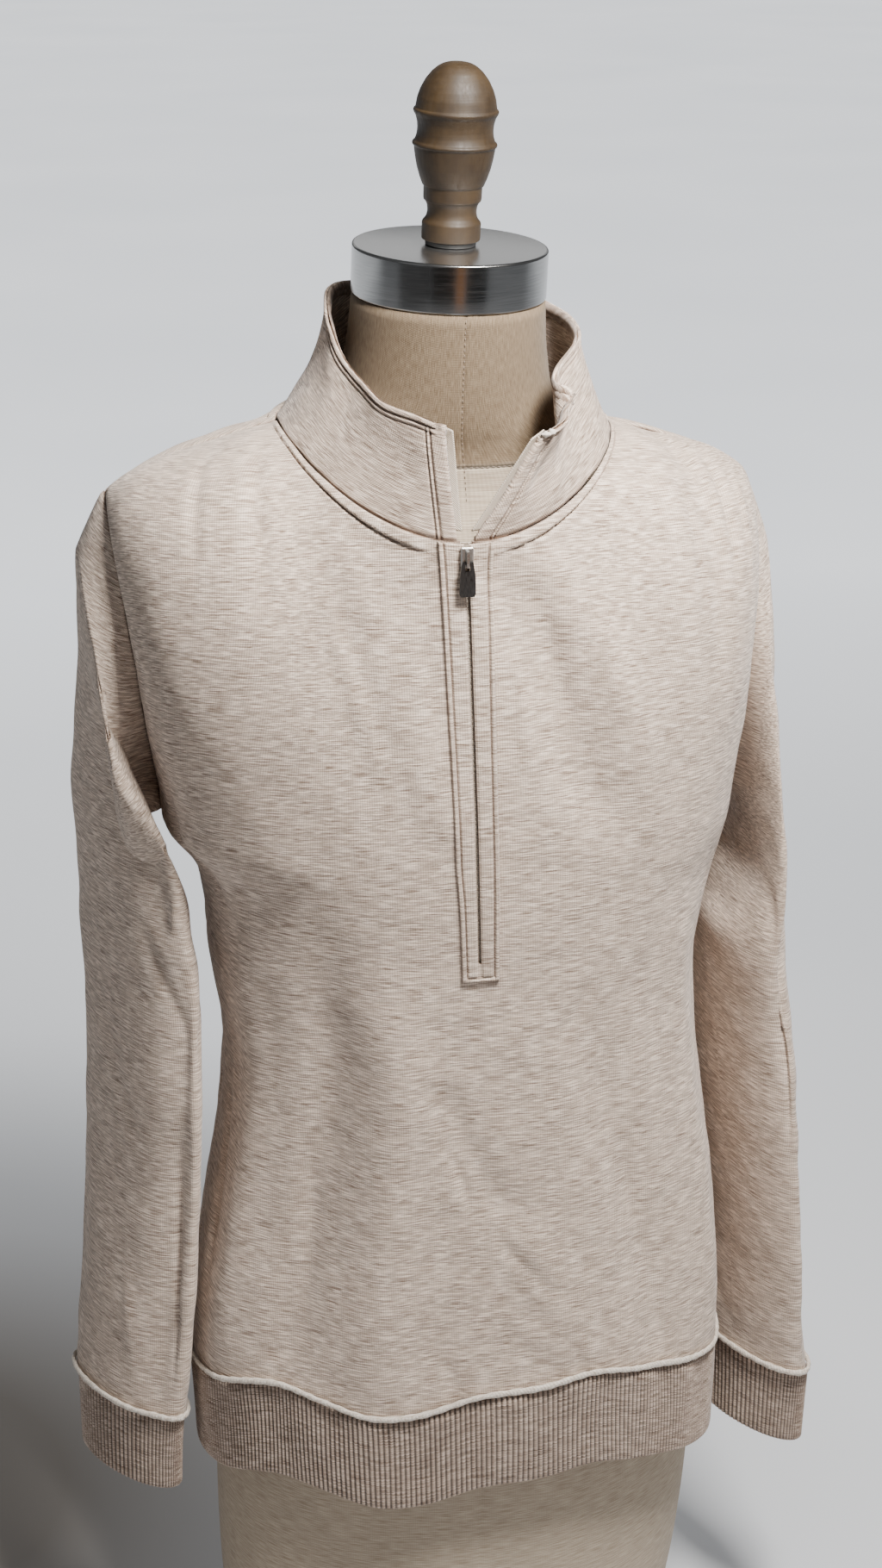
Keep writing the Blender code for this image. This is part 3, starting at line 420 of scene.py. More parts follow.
def ring(table, row, side, round_):
    """A flattened ring of a sleeve or cuff: a quarter of the way round is its front lobe."""
    a = 2 * np.pi * round_
    turn, lift = np.radians(ease(table, "turn", row)), np.radians(ease(table, "lift", row))
    centre = stack(*(ease(table, name, row) for name in "xyz"))
    ahead = stack(np.sin(turn), -np.cos(turn), 0.0 * turn)
    out = stack(side * np.sin(lift) * np.cos(turn), side * np.sin(lift) * np.sin(turn), np.cos(lift))
    longways = (ease(table, "long", row) * np.sin(a))[..., None]
    sideways = (-ease(table, "short", row) * np.cos(a))[..., None]
    return centre + ahead * longways + out * sideways


def smooth_sleeve(table, side, round_, along):
    """A sleeve before its folds, from the armhole (0) to the cuff seam (1)."""
    round_, along = np.broadcast_arrays(np.asarray(round_, float), np.asarray(along, float))
    last = table[1][-1][0]
    row = along * last
    tube = ring(table, np.maximum(row, 1), side, round_)
    start = soft(np.clip(1 - row, 0, 1))[..., None]
    return tube * (1 - start) + armhole(side, round_) * start


def sleeve(side, u, v):
    """u runs round the ring, -1 to 1, so that one sleeve winds the same way as the other faces out."""
    table, creased = (SLEEVE_PLUS, SLEEVE_FOLDS_PLUS) if side > 0 else (SLEEVE_MINUS, SLEEVE_FOLDS_MINUS)
    round_ = (np.asarray(u, float) + 1) / 2
    here = smooth_sleeve(table, side, round_, v)
    du = smooth_sleeve(table, side, round_ + STEP, v) - smooth_sleeve(table, side, round_ - STEP, v)
    low, high = np.clip(v - STEP, 0, 1), np.clip(v + STEP, 0, 1)
    dv = smooth_sleeve(table, side, round_, high) - smooth_sleeve(table, side, round_, low)
    return here + unit(-side * np.cross(du, dv)) * folds(creased, round_, v)[..., None]


def collar(u, v):
    """The stand collar; u walks round it from zip edge to zip edge, v climbs from neck seam to rim."""
    walk = 180 + 177 * np.asarray(u, float)
    walk, v = np.broadcast_arrays(walk, np.asarray(v, float))
    foot = neckline(-walk) + COLLAR_FOOT * UP
    rim = stack(*(ease(COLLAR, name, walk) for name in "xyz"))
    bow = (ease(COLLAR, "bow", walk) * 4 * v * (1 - v))[..., None]
    return foot + (rim - foot) * v[..., None] + unit(LEVEL * foot) * bow


def hem_ring(degrees, height):
    """The hem band's outside, from the front (0) to the plus side (90)."""
    a = np.radians(degrees)
    half = np.where(np.sin(a) < 0, ease(BODY, "minus", height), ease(BODY, "plus", height))
    side_y = ease(BODY, "side", height)
    reach = np.where(np.cos(a) > 0, ease(BODY, "front", height), ease(BODY, "back", height))
    square = ease(BODY, "square", height)
    across = np.sin(a)
    x = half * across + zip_x(height) * (1 - across**2)
    return x, side_y + (reach - side_y) * rounding(across, square)


def leaned(x, y, z):
    """A point of the neck, cap or finial after their lean, which starts at the neck's foot."""
    above = np.maximum(z - NECK_FOOT, 0)
    share = np.minimum(above / NECK_BEND, 1)
    tip = (NECK_LEAN * y - NECK_SLANT * x) * share
    return stack(x + NECK_SLANT * above, y - NECK_LEAN * above, z + tip)


def form_ring(turns, height):
    """The form at a turn from the plus side (0) by the back (0.25) and at a height before its lean."""
    a = 2 * np.pi * turns
    square = ease(FORM, "square", height)
    across, ahead = np.cos(a), np.sin(a)
    length = (np.abs(across) ** square + np.abs(ahead) ** square) ** (-1 / square)
    x = ease(FORM, "half", height) * across * length + ease(FORM, "shift", height)
    reach = np.where(ahead < 0, -ease(FORM, "front", height), ease(FORM, "back", height))
    share = np.clip((height - 0.76) / 0.06, 0, 1) * (1 - np.clip((height - NECK_FOOT) / NECK_BEND, 0, 1))
    drop = SHOULDER_SLANT * soft(share)
    return leaned(x, reach * ahead * length, height - drop * x)


# ---------------------------------------------------------------- meshes
def walked(points, axis, start=0):
    """Distance walked along the rows or columns of a net of points, from a chosen row or column."""
    steps = np.linalg.norm(np.diff(points, axis=axis), axis=-1)
    total = np.insert(np.cumsum(steps, axis=axis), 0, 0.0, axis=axis)
    return total - np.take(total, [start], axis=axis)


def facing(points, closed=False):
    """The way a net of points faces, at each point."""
    if closed:
        wide = np.concatenate([points[:, -2:-1], points, points[:, 1:2]], axis=1)
        across = wide[:, 2:] - wide[:, :-2]
    else:
        across = np.gradient(points, axis=1)
    return unit(np.cross(across, np.gradient(points, axis=0)))


def net(surface, us, vs):
    u, v = np.meshgrid(us, vs)
    return surface(u, v), u, v


def shell(points, closed=False, keep=None, flip=False, start=0, along=None, around=None, lines=None):
    """A grid moved onto a net of points, with the walked distances as its UV map in metres. Where it is
    closed, its first and last columns are joined; lines paint shade along its seams and stitch grooves."""
    rows, columns = points.shape[:2]
    around = walked(points, 1, start) if around is None else around
    along = walked(points, 0) if along is None else along
    bm = bmesh.new()
    bmesh.ops.create_grid(bm, x_segments=columns - 1, y_segments=rows - 1, size=1.0)
    bm.verts.index_update()
    place = [
        (round((v.co.y + 1) / 2 * (rows - 1)), round((v.co.x + 1) / 2 * (columns - 1))) for v in bm.verts
    ]
    weave = bm.loops.layers.uv.new("cloth")
    for face in bm.faces:
        for loop in face.loops:
            j, i = place[loop.vert.index]
            loop[weave].uv = (around[j, i], along[j, i])
    if keep is not None:
        gone = []
        for face in bm.faces:
            spots = [place[v.index] for v in face.verts]
            if not keep[min(s[0] for s in spots), min(s[1] for s in spots)]:
                gone.append(face)
        bmesh.ops.delete(bm, geom=gone, context="FACES")
    # Painted shade along seams and stitch grooves is kept in the seam point attribute
    shade = bm.verts.layers.float.new("seam") if lines is not None else None
    for vertex in bm.verts:
        spot = place[vertex.index]
        vertex.co = points[spot]
        if shade is not None:
            vertex[shade] = lines[spot]
    if closed:
        bmesh.ops.remove_doubles(bm, verts=bm.verts, dist=1e-6)
    if flip:
        bmesh.ops.reverse_faces(bm, faces=bm.faces)
    return bm


def piece(name, bm, stuff, slot, *nodes, wall=None):
    """The mesh as a finished piece that rides on the garment's body and stands for its CAD nodes. A wall
    thickens it inwards."""
    mesh = bpy.data.meshes.new(name)
    bm.to_mesh(mesh)
    bm.free()
    mesh.polygons.foreach_set("use_smooth", [True] * len(mesh.polygons))
    mesh.materials.append(stuff)
    made = bpy.data.objects.new(name, mesh)
    bpy.context.scene.collection.objects.link(made)
    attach(made, BODY_NAME)
    if nodes:
        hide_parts(*nodes)
    if wall:
        thick = made.modifiers.new("wall", "SOLIDIFY")
        thick.thickness = wall
        thick.offset = -1
        thick.use_even_offset = False
        thick.use_rim = True
    return made


def between(low, high, at):
    """0 below low, 1 above high, and a soft step between them."""
    return soft(np.clip((at - low) / (high - low), 0, 1))


def groove(distance, at, width):
    """1 on a line at this distance, fading to both sides of it."""
    return np.exp(-(((distance - at) / width) ** 2))


def ripples(points, seed, height, short=0.018, long=0.060):
    """Slow uneven waves of the cloth, a few tenths of a millimetre high."""
    rng = np.random.default_rng(seed)
    total = np.zeros(points.shape[:2])
    for _ in range(14):
        way = rng.normal(size=3)
        way = way / np.linalg.norm(way) * 2 * np.pi / rng.uniform(short, long)
        total = total + np.sin(points @ way + rng.uniform(0, 6.3))
    return total * height / np.sqrt(14)


def creases(table, u, v):
    """Soft troughs and ridges along slightly bowed lines."""
    total = np.zeros(np.broadcast(u, v).shape)
    for u0, v0, u1, v1, bow, width, height in table:
        along = (v - v0) / (v1 - v0)
        off = (u - u0 - (u1 - u0) * along - bow * 4 * along * (1 - along)) / width
        ends = np.clip(1.15 - 2.3 * np.abs(along - 0.5), 0, 1)
        total = total + height * np.exp(-(off**2)) * soft(ends)
    return total


# Finer creases: a line from (u, v) to (u, v), how far it bows, its half width in u and its height
FRONT_CREASES = (
    (-0.12, 0.33, -0.02, 0.20, 0.010, 0.016, -0.0012), (0.00, 0.22, 0.22, 0.09, -0.020, 0.020, -0.0014),
    (0.02, 0.12, 0.16, 0.03, 0.000, 0.030, 0.0010), (0.10, 0.93, 0.20, 0.74, 0.015, 0.018, -0.0018),
    (0.20, 0.90, 0.36, 0.70, 0.010, 0.022, 0.0016), (0.07, 0.86, 0.12, 0.70, 0.010, 0.014, 0.0010),
    (-0.30, 0.90, -0.16, 0.68, 0.010, 0.020, 0.0012), (-0.12, 0.90, -0.07, 0.72, 0.000, 0.014, 0.0009),
    (0.52, 0.97, 0.56, 0.72, 0.010, 0.016, -0.0014), (0.72, 0.99, 0.70, 0.76, -0.012, 0.018, -0.0018),
    (0.80, 0.95, 0.79, 0.78, 0.000, 0.012, 0.0012), (-0.62, 0.98, -0.60, 0.80, 0.008, 0.018, -0.0012),
    (-0.44, 0.97, -0.40, 0.78, 0.000, 0.020, -0.0010), (-0.86, 0.70, -0.70, 0.52, -0.030, 0.020, -0.0016),
    (0.86, 0.68, 0.66, 0.50, 0.030, 0.022, -0.0018), (-0.52, 0.34, -0.46, 0.06, 0.014, 0.024, -0.0012),
    (0.36, 0.36, 0.44, 0.08, -0.012, 0.020, -0.0012), (0.84, 0.44, 0.80, 0.04, 0.012, 0.020, -0.0014),
    (-0.88, 0.40, -0.84, 0.04, 0.000, 0.018, -0.0012), (-0.14, 0.10, -0.04, -0.06, 0.000, 0.018, -0.0012),
    (0.16, 0.08, 0.26, -0.04, 0.000, 0.016, -0.0010), (0.50, 0.10, 0.58, -0.04, 0.000, 0.016, -0.0010),
    (0.30, 0.50, 0.16, 0.40, 0.020, 0.022, -0.0010),
)
BACK_CREASES = (
    (-0.10, 0.96, -0.18, 0.78, 0.010, 0.022, -0.0014), (0.14, 0.96, 0.20, 0.76, 0.010, 0.020, -0.0012),
    (-0.62, 0.96, -0.52, 0.70, 0.014, 0.020, -0.0016), (0.60, 0.97, 0.54, 0.68, -0.012, 0.022, -0.0018),
    (-0.34, 0.40, -0.22, 0.10, 0.016, 0.024, -0.0016), (0.08, 0.44, 0.00, 0.12, 0.010, 0.022, -0.0014),
    (0.40, 0.36, 0.48, 0.06, -0.014, 0.024, -0.0014), (0.78, 0.50, 0.72, 0.06, 0.012, 0.020, -0.0014),
    (-0.80, 0.50, -0.74, 0.08, 0.010, 0.020, -0.0014), (-0.30, 0.56, 0.06, 0.46, 0.020, 0.040, 0.0012),
)
RIGHT_SLEEVE_CREASES = (
    (0.33, 0.62, 0.30, 1.00, 0.012, 0.012, -0.0024), (0.42, 0.40, 0.28, 0.56, 0.010, 0.020, -0.0014),
    (0.22, 0.30, 0.34, 0.46, 0.010, 0.018, 0.0012), (0.52, 0.52, 0.40, 0.70, 0.020, 0.018, -0.0012),
    (0.12, 0.44, 0.24, 0.60, 0.010, 0.020, -0.0014), (0.68, 0.44, 0.62, 0.66, -0.014, 0.022, -0.0016),
    (0.84, 0.56, 0.78, 0.96, 0.010, 0.024, -0.0016), (0.46, 0.80, 0.42, 0.99, 0.008, 0.016, 0.0010),
    (0.20, 0.12, 0.30, 0.28, 0.010, 0.022, -0.0012),
)
LEFT_SLEEVE_CREASES = (
    (0.46, 0.24, 0.24, 0.56, -0.020, 0.014, -0.0022), (0.24, 0.54, 0.20, 0.72, 0.010, 0.014, -0.0018),
    (0.36, 0.66, 0.33, 0.98, 0.010, 0.016, -0.0014), (0.14, 0.30, 0.22, 0.50, 0.000, 0.020, -0.0012),
    (0.54, 0.40, 0.46, 0.62, 0.014, 0.020, -0.0012), (0.70, 0.40, 0.62, 0.64, -0.014, 0.022, -0.0016),
    (0.84, 0.56, 0.78, 0.94, 0.010, 0.022, -0.0016), (0.30, 0.10, 0.38, 0.26, 0.010, 0.020, -0.0012),
)


# ---------------------------------------------------------------- finishes
def finish_of(name, rough, metal=0.0, sheen=0.0):
    made = bpy.data.materials.new(name)
    made.use_nodes = True
    tree = made.node_tree
    shader = tree.nodes["Principled BSDF"]
    shader.inputs["Roughness"].default_value = rough
    shader.inputs["Metallic"].default_value = metal
    shader.inputs["Specular IOR Level"].default_value = 0.5 if rough < 0.7 else 0.25
    if sheen:
        shader.inputs["Sheen Weight"].default_value = sheen
        shader.inputs["Sheen Roughness"].default_value = 0.5
    return made, tree, shader


def add(tree, kind, settings=(), **sockets):
    made = tree.nodes.new(kind)
    for key, value in dict(settings).items():
        setattr(made, key, value)
    for key, value in sockets.items():
        socket = made.inputs[key.replace("_", " ")]
        if isinstance(value, bpy.types.NodeSocket):
            tree.links.new(value, socket)
        else:
            socket.default_value = value
    return made


def stretched(tree, source, scale, place=(0, 0, 0)):
    """The pattern's coordinates, in cycles a metre along each way."""
    return add(tree, "ShaderNodeMapping", Vector=source, Scale=scale, Location=place).outputs["Vector"]


def weave_way(tree):
    return add(tree, "ShaderNodeUVMap", {"uv_map": "cloth"}).outputs["UV"]


def object_way(tree):
    return add(tree, "ShaderNodeTexCoord").outputs["Object"]


def cloud(tree, vector, detail=2.0, rough=0.5):
    noise = add(tree, "ShaderNodeTexNoise", Vector=vector, Scale=1.0, Detail=detail, Roughness=rough)
    return noise.outputs[0]


def sums(tree, operation, a, b):
    made = tree.nodes.new("ShaderNodeMath")
    made.operation = operation
    for socket, value in zip(made.inputs, (a, b)):
        if isinstance(value, bpy.types.NodeSocket):
            tree.links.new(value, socket)
        else:
            socket.default_value = value
    return made.outputs[0]


def ramp(tree, value, stops):
    made = add(tree, "ShaderNodeValToRGB", Fac=value)
    made.color_ramp.elements[0].position = stops[0][0]
    made.color_ramp.elements[0].color = (*stops[0][1], 1)
    made.color_ramp.elements[1].position = stops[-1][0]
    made.color_ramp.elements[1].color = (*stops[-1][1], 1)
    for at, colour in stops[1:-1]:
        stop = made.color_ramp.elements.new(at)
        stop.color = (*colour, 1)
    return made.outputs["Color"]


def blended(tree, share, a, b, way="MIX"):
    made = tree.nodes.new("ShaderNodeMix")
    made.data_type = "RGBA"
    made.blend_type = way
    for index, value in ((0, share), (6, a), (7, b)):
        if isinstance(value, bpy.types.NodeSocket):
            tree.links.new(value, made.inputs[index])
        elif index == 0:
            made.inputs[0].default_value = value
        else:
            made.inputs[index].default_value = (*value, 1)
    return made.outputs[2]


def grey(value):
    return (value, value, value)


def times(colour, *gains):
    return tuple(c * k for c, k in zip(colour, gains))


def weighted(tree, *parts):
    """Patterns added up, each with its weight."""
    total, *rest = [sums(tree, "MULTIPLY", pattern, weight) for pattern, weight in parts]
    for part in rest:
        total = sums(tree, "ADD", total, part)
    return total


def shaded(tree, colour, low, pattern, gain):
    """The colour times a pattern that runs from low to low + gain."""
    return blended(tree, 1.0, colour, sums(tree, "ADD", low, weighted(tree, (pattern, gain))), "MULTIPLY")


def plugged(tree, shader, **sockets):
    for key, value in sockets.items():
        tree.links.new(value, shader.inputs[key.replace("_", " ")])


def bumped(tree, shader, height, strength, distance=0.0004):
    bump = add(tree, "ShaderNodeBump", Strength=strength, Distance=distance, Height=height)
    plugged(tree, shader, Normal=bump.outputs["Normal"])


def across_and_along(tree, way):
    split = add(tree, "ShaderNodeSeparateXYZ", Vector=way)
    return split.outputs["X"], split.outputs["Y"]


def distance_to(tree, way, place):
    made = add(tree, "ShaderNodeVectorMath", {"operation": "DISTANCE"})
    tree.links.new(way, made.inputs[0])
    made.inputs[1].default_value = place
    return made.outputs["Value"]


def specked(tree, way, scale, low, high, ends=(0.3, 0.7)):
    """Two tones, clouded into each other."""
    return ramp(tree, cloud(tree, stretched(tree, way, scale), 3.0, 0.6), ((ends[0], low), (ends[1], high)))


def waves(tree, length_out, period):
    """A sine along one coordinate, from 0 to 1 in each period in metres."""
    turned = sums(tree, "MULTIPLY", length_out, 2 * np.pi / period)
    return sums(tree, "ADD", weighted(tree, (sums(tree, "SINE", turned, 0), 0.5)), 0.5)


COURSE = 0.0012  # from one course of the knit to the next


def heather(name, base, wale=0.0014, groove_shade_share=0.20, shift=0.0):
    """Melange knit: short bits of cream and of taupe yarn along the courses, over fine upright wales, with
    painted shade in their grooves and along seams and stitch grooves.
    """
    made, tree, shader = finish_of(name, 0.93, sheen=0.20)
    way = weave_way(tree)
    dark_bits = cloud(tree, stretched(tree, way, (64, 1400, 1)), 3.0, 0.60)
    light_bits = cloud(tree, stretched(tree, way, (84, 1150, 1), (3.1, 7.7, 0)), 3.0, 0.60)
    patch = cloud(tree, stretched(tree, way, (26, 150, 1), (9.2, 1.3, 0)), 3.0, 0.55)
    toned = ramp(tree, patch, ((0.36, times(base, 0.83, 0.83, 0.83)), (0.64, times(base, 1.12, 1.12, 1.12))))
    darker = ramp(tree, dark_bits, ((0.48, grey(0.0)), (0.64, grey(1.0))))
    lighter = ramp(tree, light_bits, ((0.48, grey(0.0)), (0.61, grey(1.0))))
    cream = tuple(min(0.97, c) for c in times(base, 1.62, 1.72, 1.80))
    colour = blended(tree, darker, toned, times(base, 0.385, 0.33, 0.29))
    colour = blended(tree, lighter, colour, cream)
    across, along = across_and_along(tree, way)
    upright = waves(tree, sums(tree, "ADD", across, shift), wale)
    cut = sums(tree, "POWER", sums(tree, "SUBTRACT", 1.0, upright), 2.0)
    level = waves(tree, along, COURSE)
    grain = cloud(tree, stretched(tree, way, (1500, 1900, 1)), 2.0, 0.6)
    # Painted shade in the grooves between the wales, which for the rib knit are the grooves between its
    # ribs; a random grain varies the tone too
    shade = sums(tree, "SUBTRACT", 1.04, weighted(tree, (cut, groove_shade_share)))
    shade = sums(tree, "MULTIPLY", shade, sums(tree, "ADD", 0.86, weighted(tree, (grain, 0.28))))
    colour = blended(tree, 1.0, colour, shade, "MULTIPLY")
    # Painted shade: the knit darkens where the seam attribute marks seams and stitch grooves
    seam = add(tree, "ShaderNodeAttribute", {"attribute_name": "seam"}).outputs["Fac"]
    colour = blended(tree, seam, colour, times(base, 0.27, 0.21, 0.18))
    plugged(tree, shader, Base_Color=colour)
    rise = weighted(tree, (upright, 0.6), (level, 0.3), (grain, 0.9), (light_bits, 0.8))
    bumped(tree, shader, rise, 0.55)
    return made


RIB_PITCH = 0.0028  # from rib to rib on the cloth
FLEECE = heather("heather_fleece_knit", (0.545, 0.430, 0.345))
COLLAR_KNIT = heather("heather_collar_knit", (0.500, 0.388, 0.308))
RIB_KNIT = heather("heather_rib_knit", (0.400, 0.302, 0.238), RIB_PITCH, 0.80, RIB_PITCH / 4)


def roll_finish():
    """Pale seam roll, with the slant of its overlock thread."""
    made, tree, shader = finish_of("pale_seam_thread", 0.85, sheen=0.2)
    way = weave_way(tree)
    across, along = across_and_along(tree, way)
    turns = waves(tree, sums(tree, "ADD", across, weighted(tree, (along, 0.6))), 0.0022)
    specks = cloud(tree, stretched(tree, way, (300, 900, 1)), 2.0, 0.6)
    colour = ramp(tree, specks, ((0.30, (0.54, 0.45, 0.36)), (0.62, (0.84, 0.775, 0.69))))
    plugged(tree, shader, Base_Color=shaded(tree, colour, 0.84, turns, 0.16))
    bumped(tree, shader, turns, 0.5)
    return made


def tape_finish():
    """Woven zip tape: a fine herringbone with a raised cord up its middle."""
    made, tree, shader = finish_of("woven_zip_tape", 0.8, sheen=0.15)
    way = weave_way(tree)
    across, along = across_and_along(tree, way)
    folded = sums(tree, "ABSOLUTE", across, 0)
    bone = waves(tree, sums(tree, "ADD", along, weighted(tree, (folded, 0.9))), 0.0013)
    grain = cloud(tree, stretched(tree, way, (900, 2400, 1)), 2.0, 0.6)
    colour = ramp(tree, bone, ((0.15, (0.42, 0.34, 0.27)), (0.75, (0.80, 0.71, 0.59))))
    plugged(tree, shader, Base_Color=shaded(tree, colour, 0.85, grain, 0.25))
    bumped(tree, shader, bone, 0.6)
    return made


def thread_finish():
    made, tree, shader = finish_of("sewing_thread", 0.7, sheen=0.2)
    twist = cloud(tree, stretched(tree, object_way(tree), (1800, 1800, 1800)), 2.0, 0.6)
    colour = ramp(tree, twist, ((0.3, (0.22, 0.165, 0.13)), (0.7, (0.36, 0.285, 0.23))))
    plugged(tree, shader, Base_Color=colour)
    return made


def linen_finish():
    """Plain linen: threads upright on the neck and level below its seam, with faint marks."""
    made, tree, shader = finish_of("form_linen_weave", 0.9, sheen=0.1)
    way = weave_way(tree)
    across, along = across_and_along(tree, way)
    over_seam = sums(tree, "SUBTRACT", along, NECK_SEAM)
    on_neck = add(tree, "ShaderNodeClamp", Value=sums(tree, "MULTIPLY", over_seam, 400.0)).outputs[0]
    warp, weft = waves(tree, across, 0.0010), waves(tree, along, 0.0010)
    threads = weighted(tree, (sums(tree, "ADD", warp, weft), 0.5))
    marks = cloud(tree, stretched(tree, object_way(tree), (9, 9, 9)), 4.0, 0.6)
    level = specked(tree, way, (90, 1500, 1), (0.31, 0.245, 0.178), (0.55, 0.465, 0.360), (0.34, 0.66))
    upright = cloud(tree, stretched(tree, way, (1600, 180, 1), (4, 2, 0)), 3.0, 0.6)
    upright = ramp(tree, upright, ((0.34, (0.145, 0.102, 0.062)), (0.66, (0.245, 0.185, 0.122))))
    off_seam = weighted(tree, (sums(tree, "ABSOLUTE", over_seam, 0.0), 500.0))
    joined = ramp(tree, off_seam, ((0.25, grey(0.30)), (0.55, grey(1.0))))
    colour = blended(tree, 1.0, blended(tree, on_neck, level, upright), joined, "MULTIPLY")
    colour = shaded(tree, shaded(tree, colour, 0.86, threads, 0.20), 0.86, marks, 0.26)
    plugged(tree, shader, Base_Color=colour)
    bumped(tree, shader, threads, 0.4, 0.0003)
    return made


LID_CENTRE = (0.0036, -0.0052, 0.0)  # the cap's axis at its top


def steel_finish(name, scale, rough, colour, lid=False):
    """Brushed metal: fine lines vary its tone and gloss. A lid is paler and brushed in rings."""
    made, tree, shader = finish_of(name, 0.28, 1.0)
    way = object_way(tree)
    lines = cloud(tree, stretched(tree, way, scale), 3.0, 0.6)
    smudge = cloud(tree, stretched(tree, way, (30, 30, 30)), 3.0, 0.6)
    tone = ramp(tree, lines, ((0.3, colour[0]), (0.7, colour[1])))
    if lid:
        from_axis = distance_to(tree, stretched(tree, way, (1.0, 1.0, 0.0)), LID_CENTRE)
        across = add(tree, "ShaderNodeCombineXYZ", X=sums(tree, "MULTIPLY", from_axis, 1900.0))
        rings = cloud(tree, across.outputs["Vector"], 3.0, 0.6)
        top = add(tree, "ShaderNodeAttribute", {"attribute_name": "lid"}).outputs["Fac"]
        ringed = ramp(tree, rings, ((0.3, (0.66, 0.66, 0.655)), (0.7, (0.88, 0.88, 0.875))))
        tone = blended(tree, top, tone, ringed)
        lines = sums(tree, "ADD", sums(tree, "MULTIPLY", rings, top), lines)
    both = weighted(tree, (lines, 0.7), (smudge, 0.3))
    gloss = ramp(tree, both, ((0.35, grey(rough[0])), (0.65, grey(rough[1]))))
    plugged(tree, shader, Base_Color=tone, Roughness=gloss)
    bumped(tree, shader, lines, 0.05, 0.0002)
    return made


def wood_finish():
    """Turned wood under a thin gold-brown paint, darker in the hollows and rubbed on the rings."""
    made, tree, shader = finish_of("gold_brown_turned_wood", 0.55)
    way = object_way(tree)
    rings = cloud(tree, stretched(tree, way, (25, 25, 900)), 3.0, 0.6)
    grain = cloud(tree, stretched(tree, way, (420, 420, 40)), 3.0, 0.6)
    blots = cloud(tree, stretched(tree, way, (60, 60, 60)), 4.0, 0.6)
    colour = ramp(tree, blots, ((0.35, (0.021, 0.0112, 0.0032)), (0.65, (0.037, 0.0212, 0.0068))))
    colour = shaded(tree, colour, 0.82, rings, 0.32)
    edge = add(tree, "ShaderNodeNewGeometry").outputs["Pointiness"]
    worn = sums(tree, "MULTIPLY", ramp(tree, edge, ((0.55, grey(0.0)), (0.66, grey(0.55)))), grain)
    colour = blended(tree, worn, colour, (0.11, 0.076, 0.036))
    gloss = ramp(tree, grain, ((0.3, grey(0.52)), (0.7, grey(0.68))))
    plugged(tree, shader, Base_Color=colour, Roughness=gloss)
    bumped(tree, shader, weighted(tree, (rings, 0.7), (grain, 0.4)), 0.18)
    return made


def rubber_finish():
    made, tree, shader = finish_of("black_rubber", 0.55)
    colour = specked(tree, object_way(tree), (500, 500, 500), grey(0.010), grey(0.028))
    plugged(tree, shader, Base_Color=colour)
    return made


ROLL_THREAD, TAPE_WEAVE, THREAD = roll_finish(), tape_finish(), thread_finish()
LINEN_WEAVE, WOOD_PAINT, RUBBER = linen_finish(), wood_finish(), rubber_finish()
CAP_STEEL = steel_finish(
    "brushed_steel_cap", (40, 40, 2600), (0.15, 0.26), ((0.27, 0.27, 0.265), (0.38, 0.38, 0.375)), True
)
SLIDER_METAL = steel_finish(
    "bright_slider_metal", (300, 2500, 300), (0.26, 0.40), ((0.52, 0.52, 0.50), (0.70, 0.70, 0.68))
)
PULL_METAL = steel_finish(
    "dark_satin_pull_metal", (2500, 300, 300), (0.26, 0.40), ((0.085, 0.09, 0.092), (0.165, 0.17, 0.172))
)


# ---------------------------------------------------------------- the panels
def denser(edges, count):
    """Positions that crowd towards the named places, so that seams and stitch lines are crisp."""
    fine = np.linspace(edges[0][0], edges[-1][0], 4001)
    want = np.ones_like(fine)
    for at, width, more in edges[1:-1]:
        want = want + more * groove(fine, at, width)
    total = np.insert(np.cumsum((want[1:] + want[:-1]) / 2), 0, 0.0)
    return np.interp(np.linspace(0, total[-1], count), total, fine)


def drawn_in(surface):
    """A panel kept a seam's gap from its neighbours at the sides and shoulders."""

    def inner(u, v):
        gap = np.where(np.abs(u) > NECK_SHARE, 0.0010 + 0.0080 * u**6, 0)
        at_top = np.clip(v * 50 - 49, 0, 1)
        return surface(u * 0.9992, v * (1 - gap * at_top))

    return inner


# Stitch lines: how far each lies from the edge of its cloth
NECK_STITCH = 0.0090
RIM_STITCH, LOW_RIM_STITCH = 0.0034, 0.0064
ZIP_STITCH, FAR_ZIP_STITCH = 0.0088, 0.0113
BAND_STITCH = 0.0034


def from_edges(points, u):
    """Distance down from a panel's top edge and in from its sides, and where its top edge is the neck's."""
    down = -walked(points, 0, points.shape[0] - 1)
    from_side = np.minimum(walked(points, 1, 0), -walked(points, 1, points.shape[1] - 1))
    return down, from_side, 1 - between(NECK_SHARE - 0.006, NECK_SHARE + 0.002, np.abs(u))


def edged(points, u):
    """Relief of a panel's seams: the band round the neck, and edges that turn down into their seams."""
    down, from_side, neck = from_edges(points, u)
    band = between(0.0000, 0.0016, down) * (1 - between(0.0074, 0.0086, down))
    stitched = 0.0010 * groove(down, NECK_STITCH, 0.0007)
    relief = neck * (0.0016 * band - stitched + 0.0004 * groove(down, 0.0112, 0.0012))
    relief = relief - (1 - neck) * 0.0009 * groove(down, 0, 0.0016)
    return relief - 0.0009 * groove(from_side, 0, 0.0016)


def panel_painted_shade(points, u):
    """Painted shade along a panel's seams and in the stitch groove below the band round the neck."""
    down, from_side, neck = from_edges(points, u)
    seam = 0.8 * groove(down, 0, 0.0009) + 0.75 * groove(from_side, 0, 0.0009)
    return np.clip(seam + 0.75 * neck * groove(down, NECK_STITCH, 0.0006), 0, 1)


def zip_u(distance):
    """The u of the front at a distance from its middle line, where it is about 0.18 m to each side."""
    return 2 / np.pi * np.arcsin(distance / 0.18)


SLIT_U, BAND_U, TAPE_U, SHUT_U = zip_u(SLIT), zip_u(SLIT + BAND), zip_u(TAPE_HALF), zip_u(0.0009)
FOOT_V = float(middle_to_v(ZIP_FOOT))
BOX_V = float(middle_to_v(ZIP_FOOT - 0.012))
BAND_TOP = 0.985


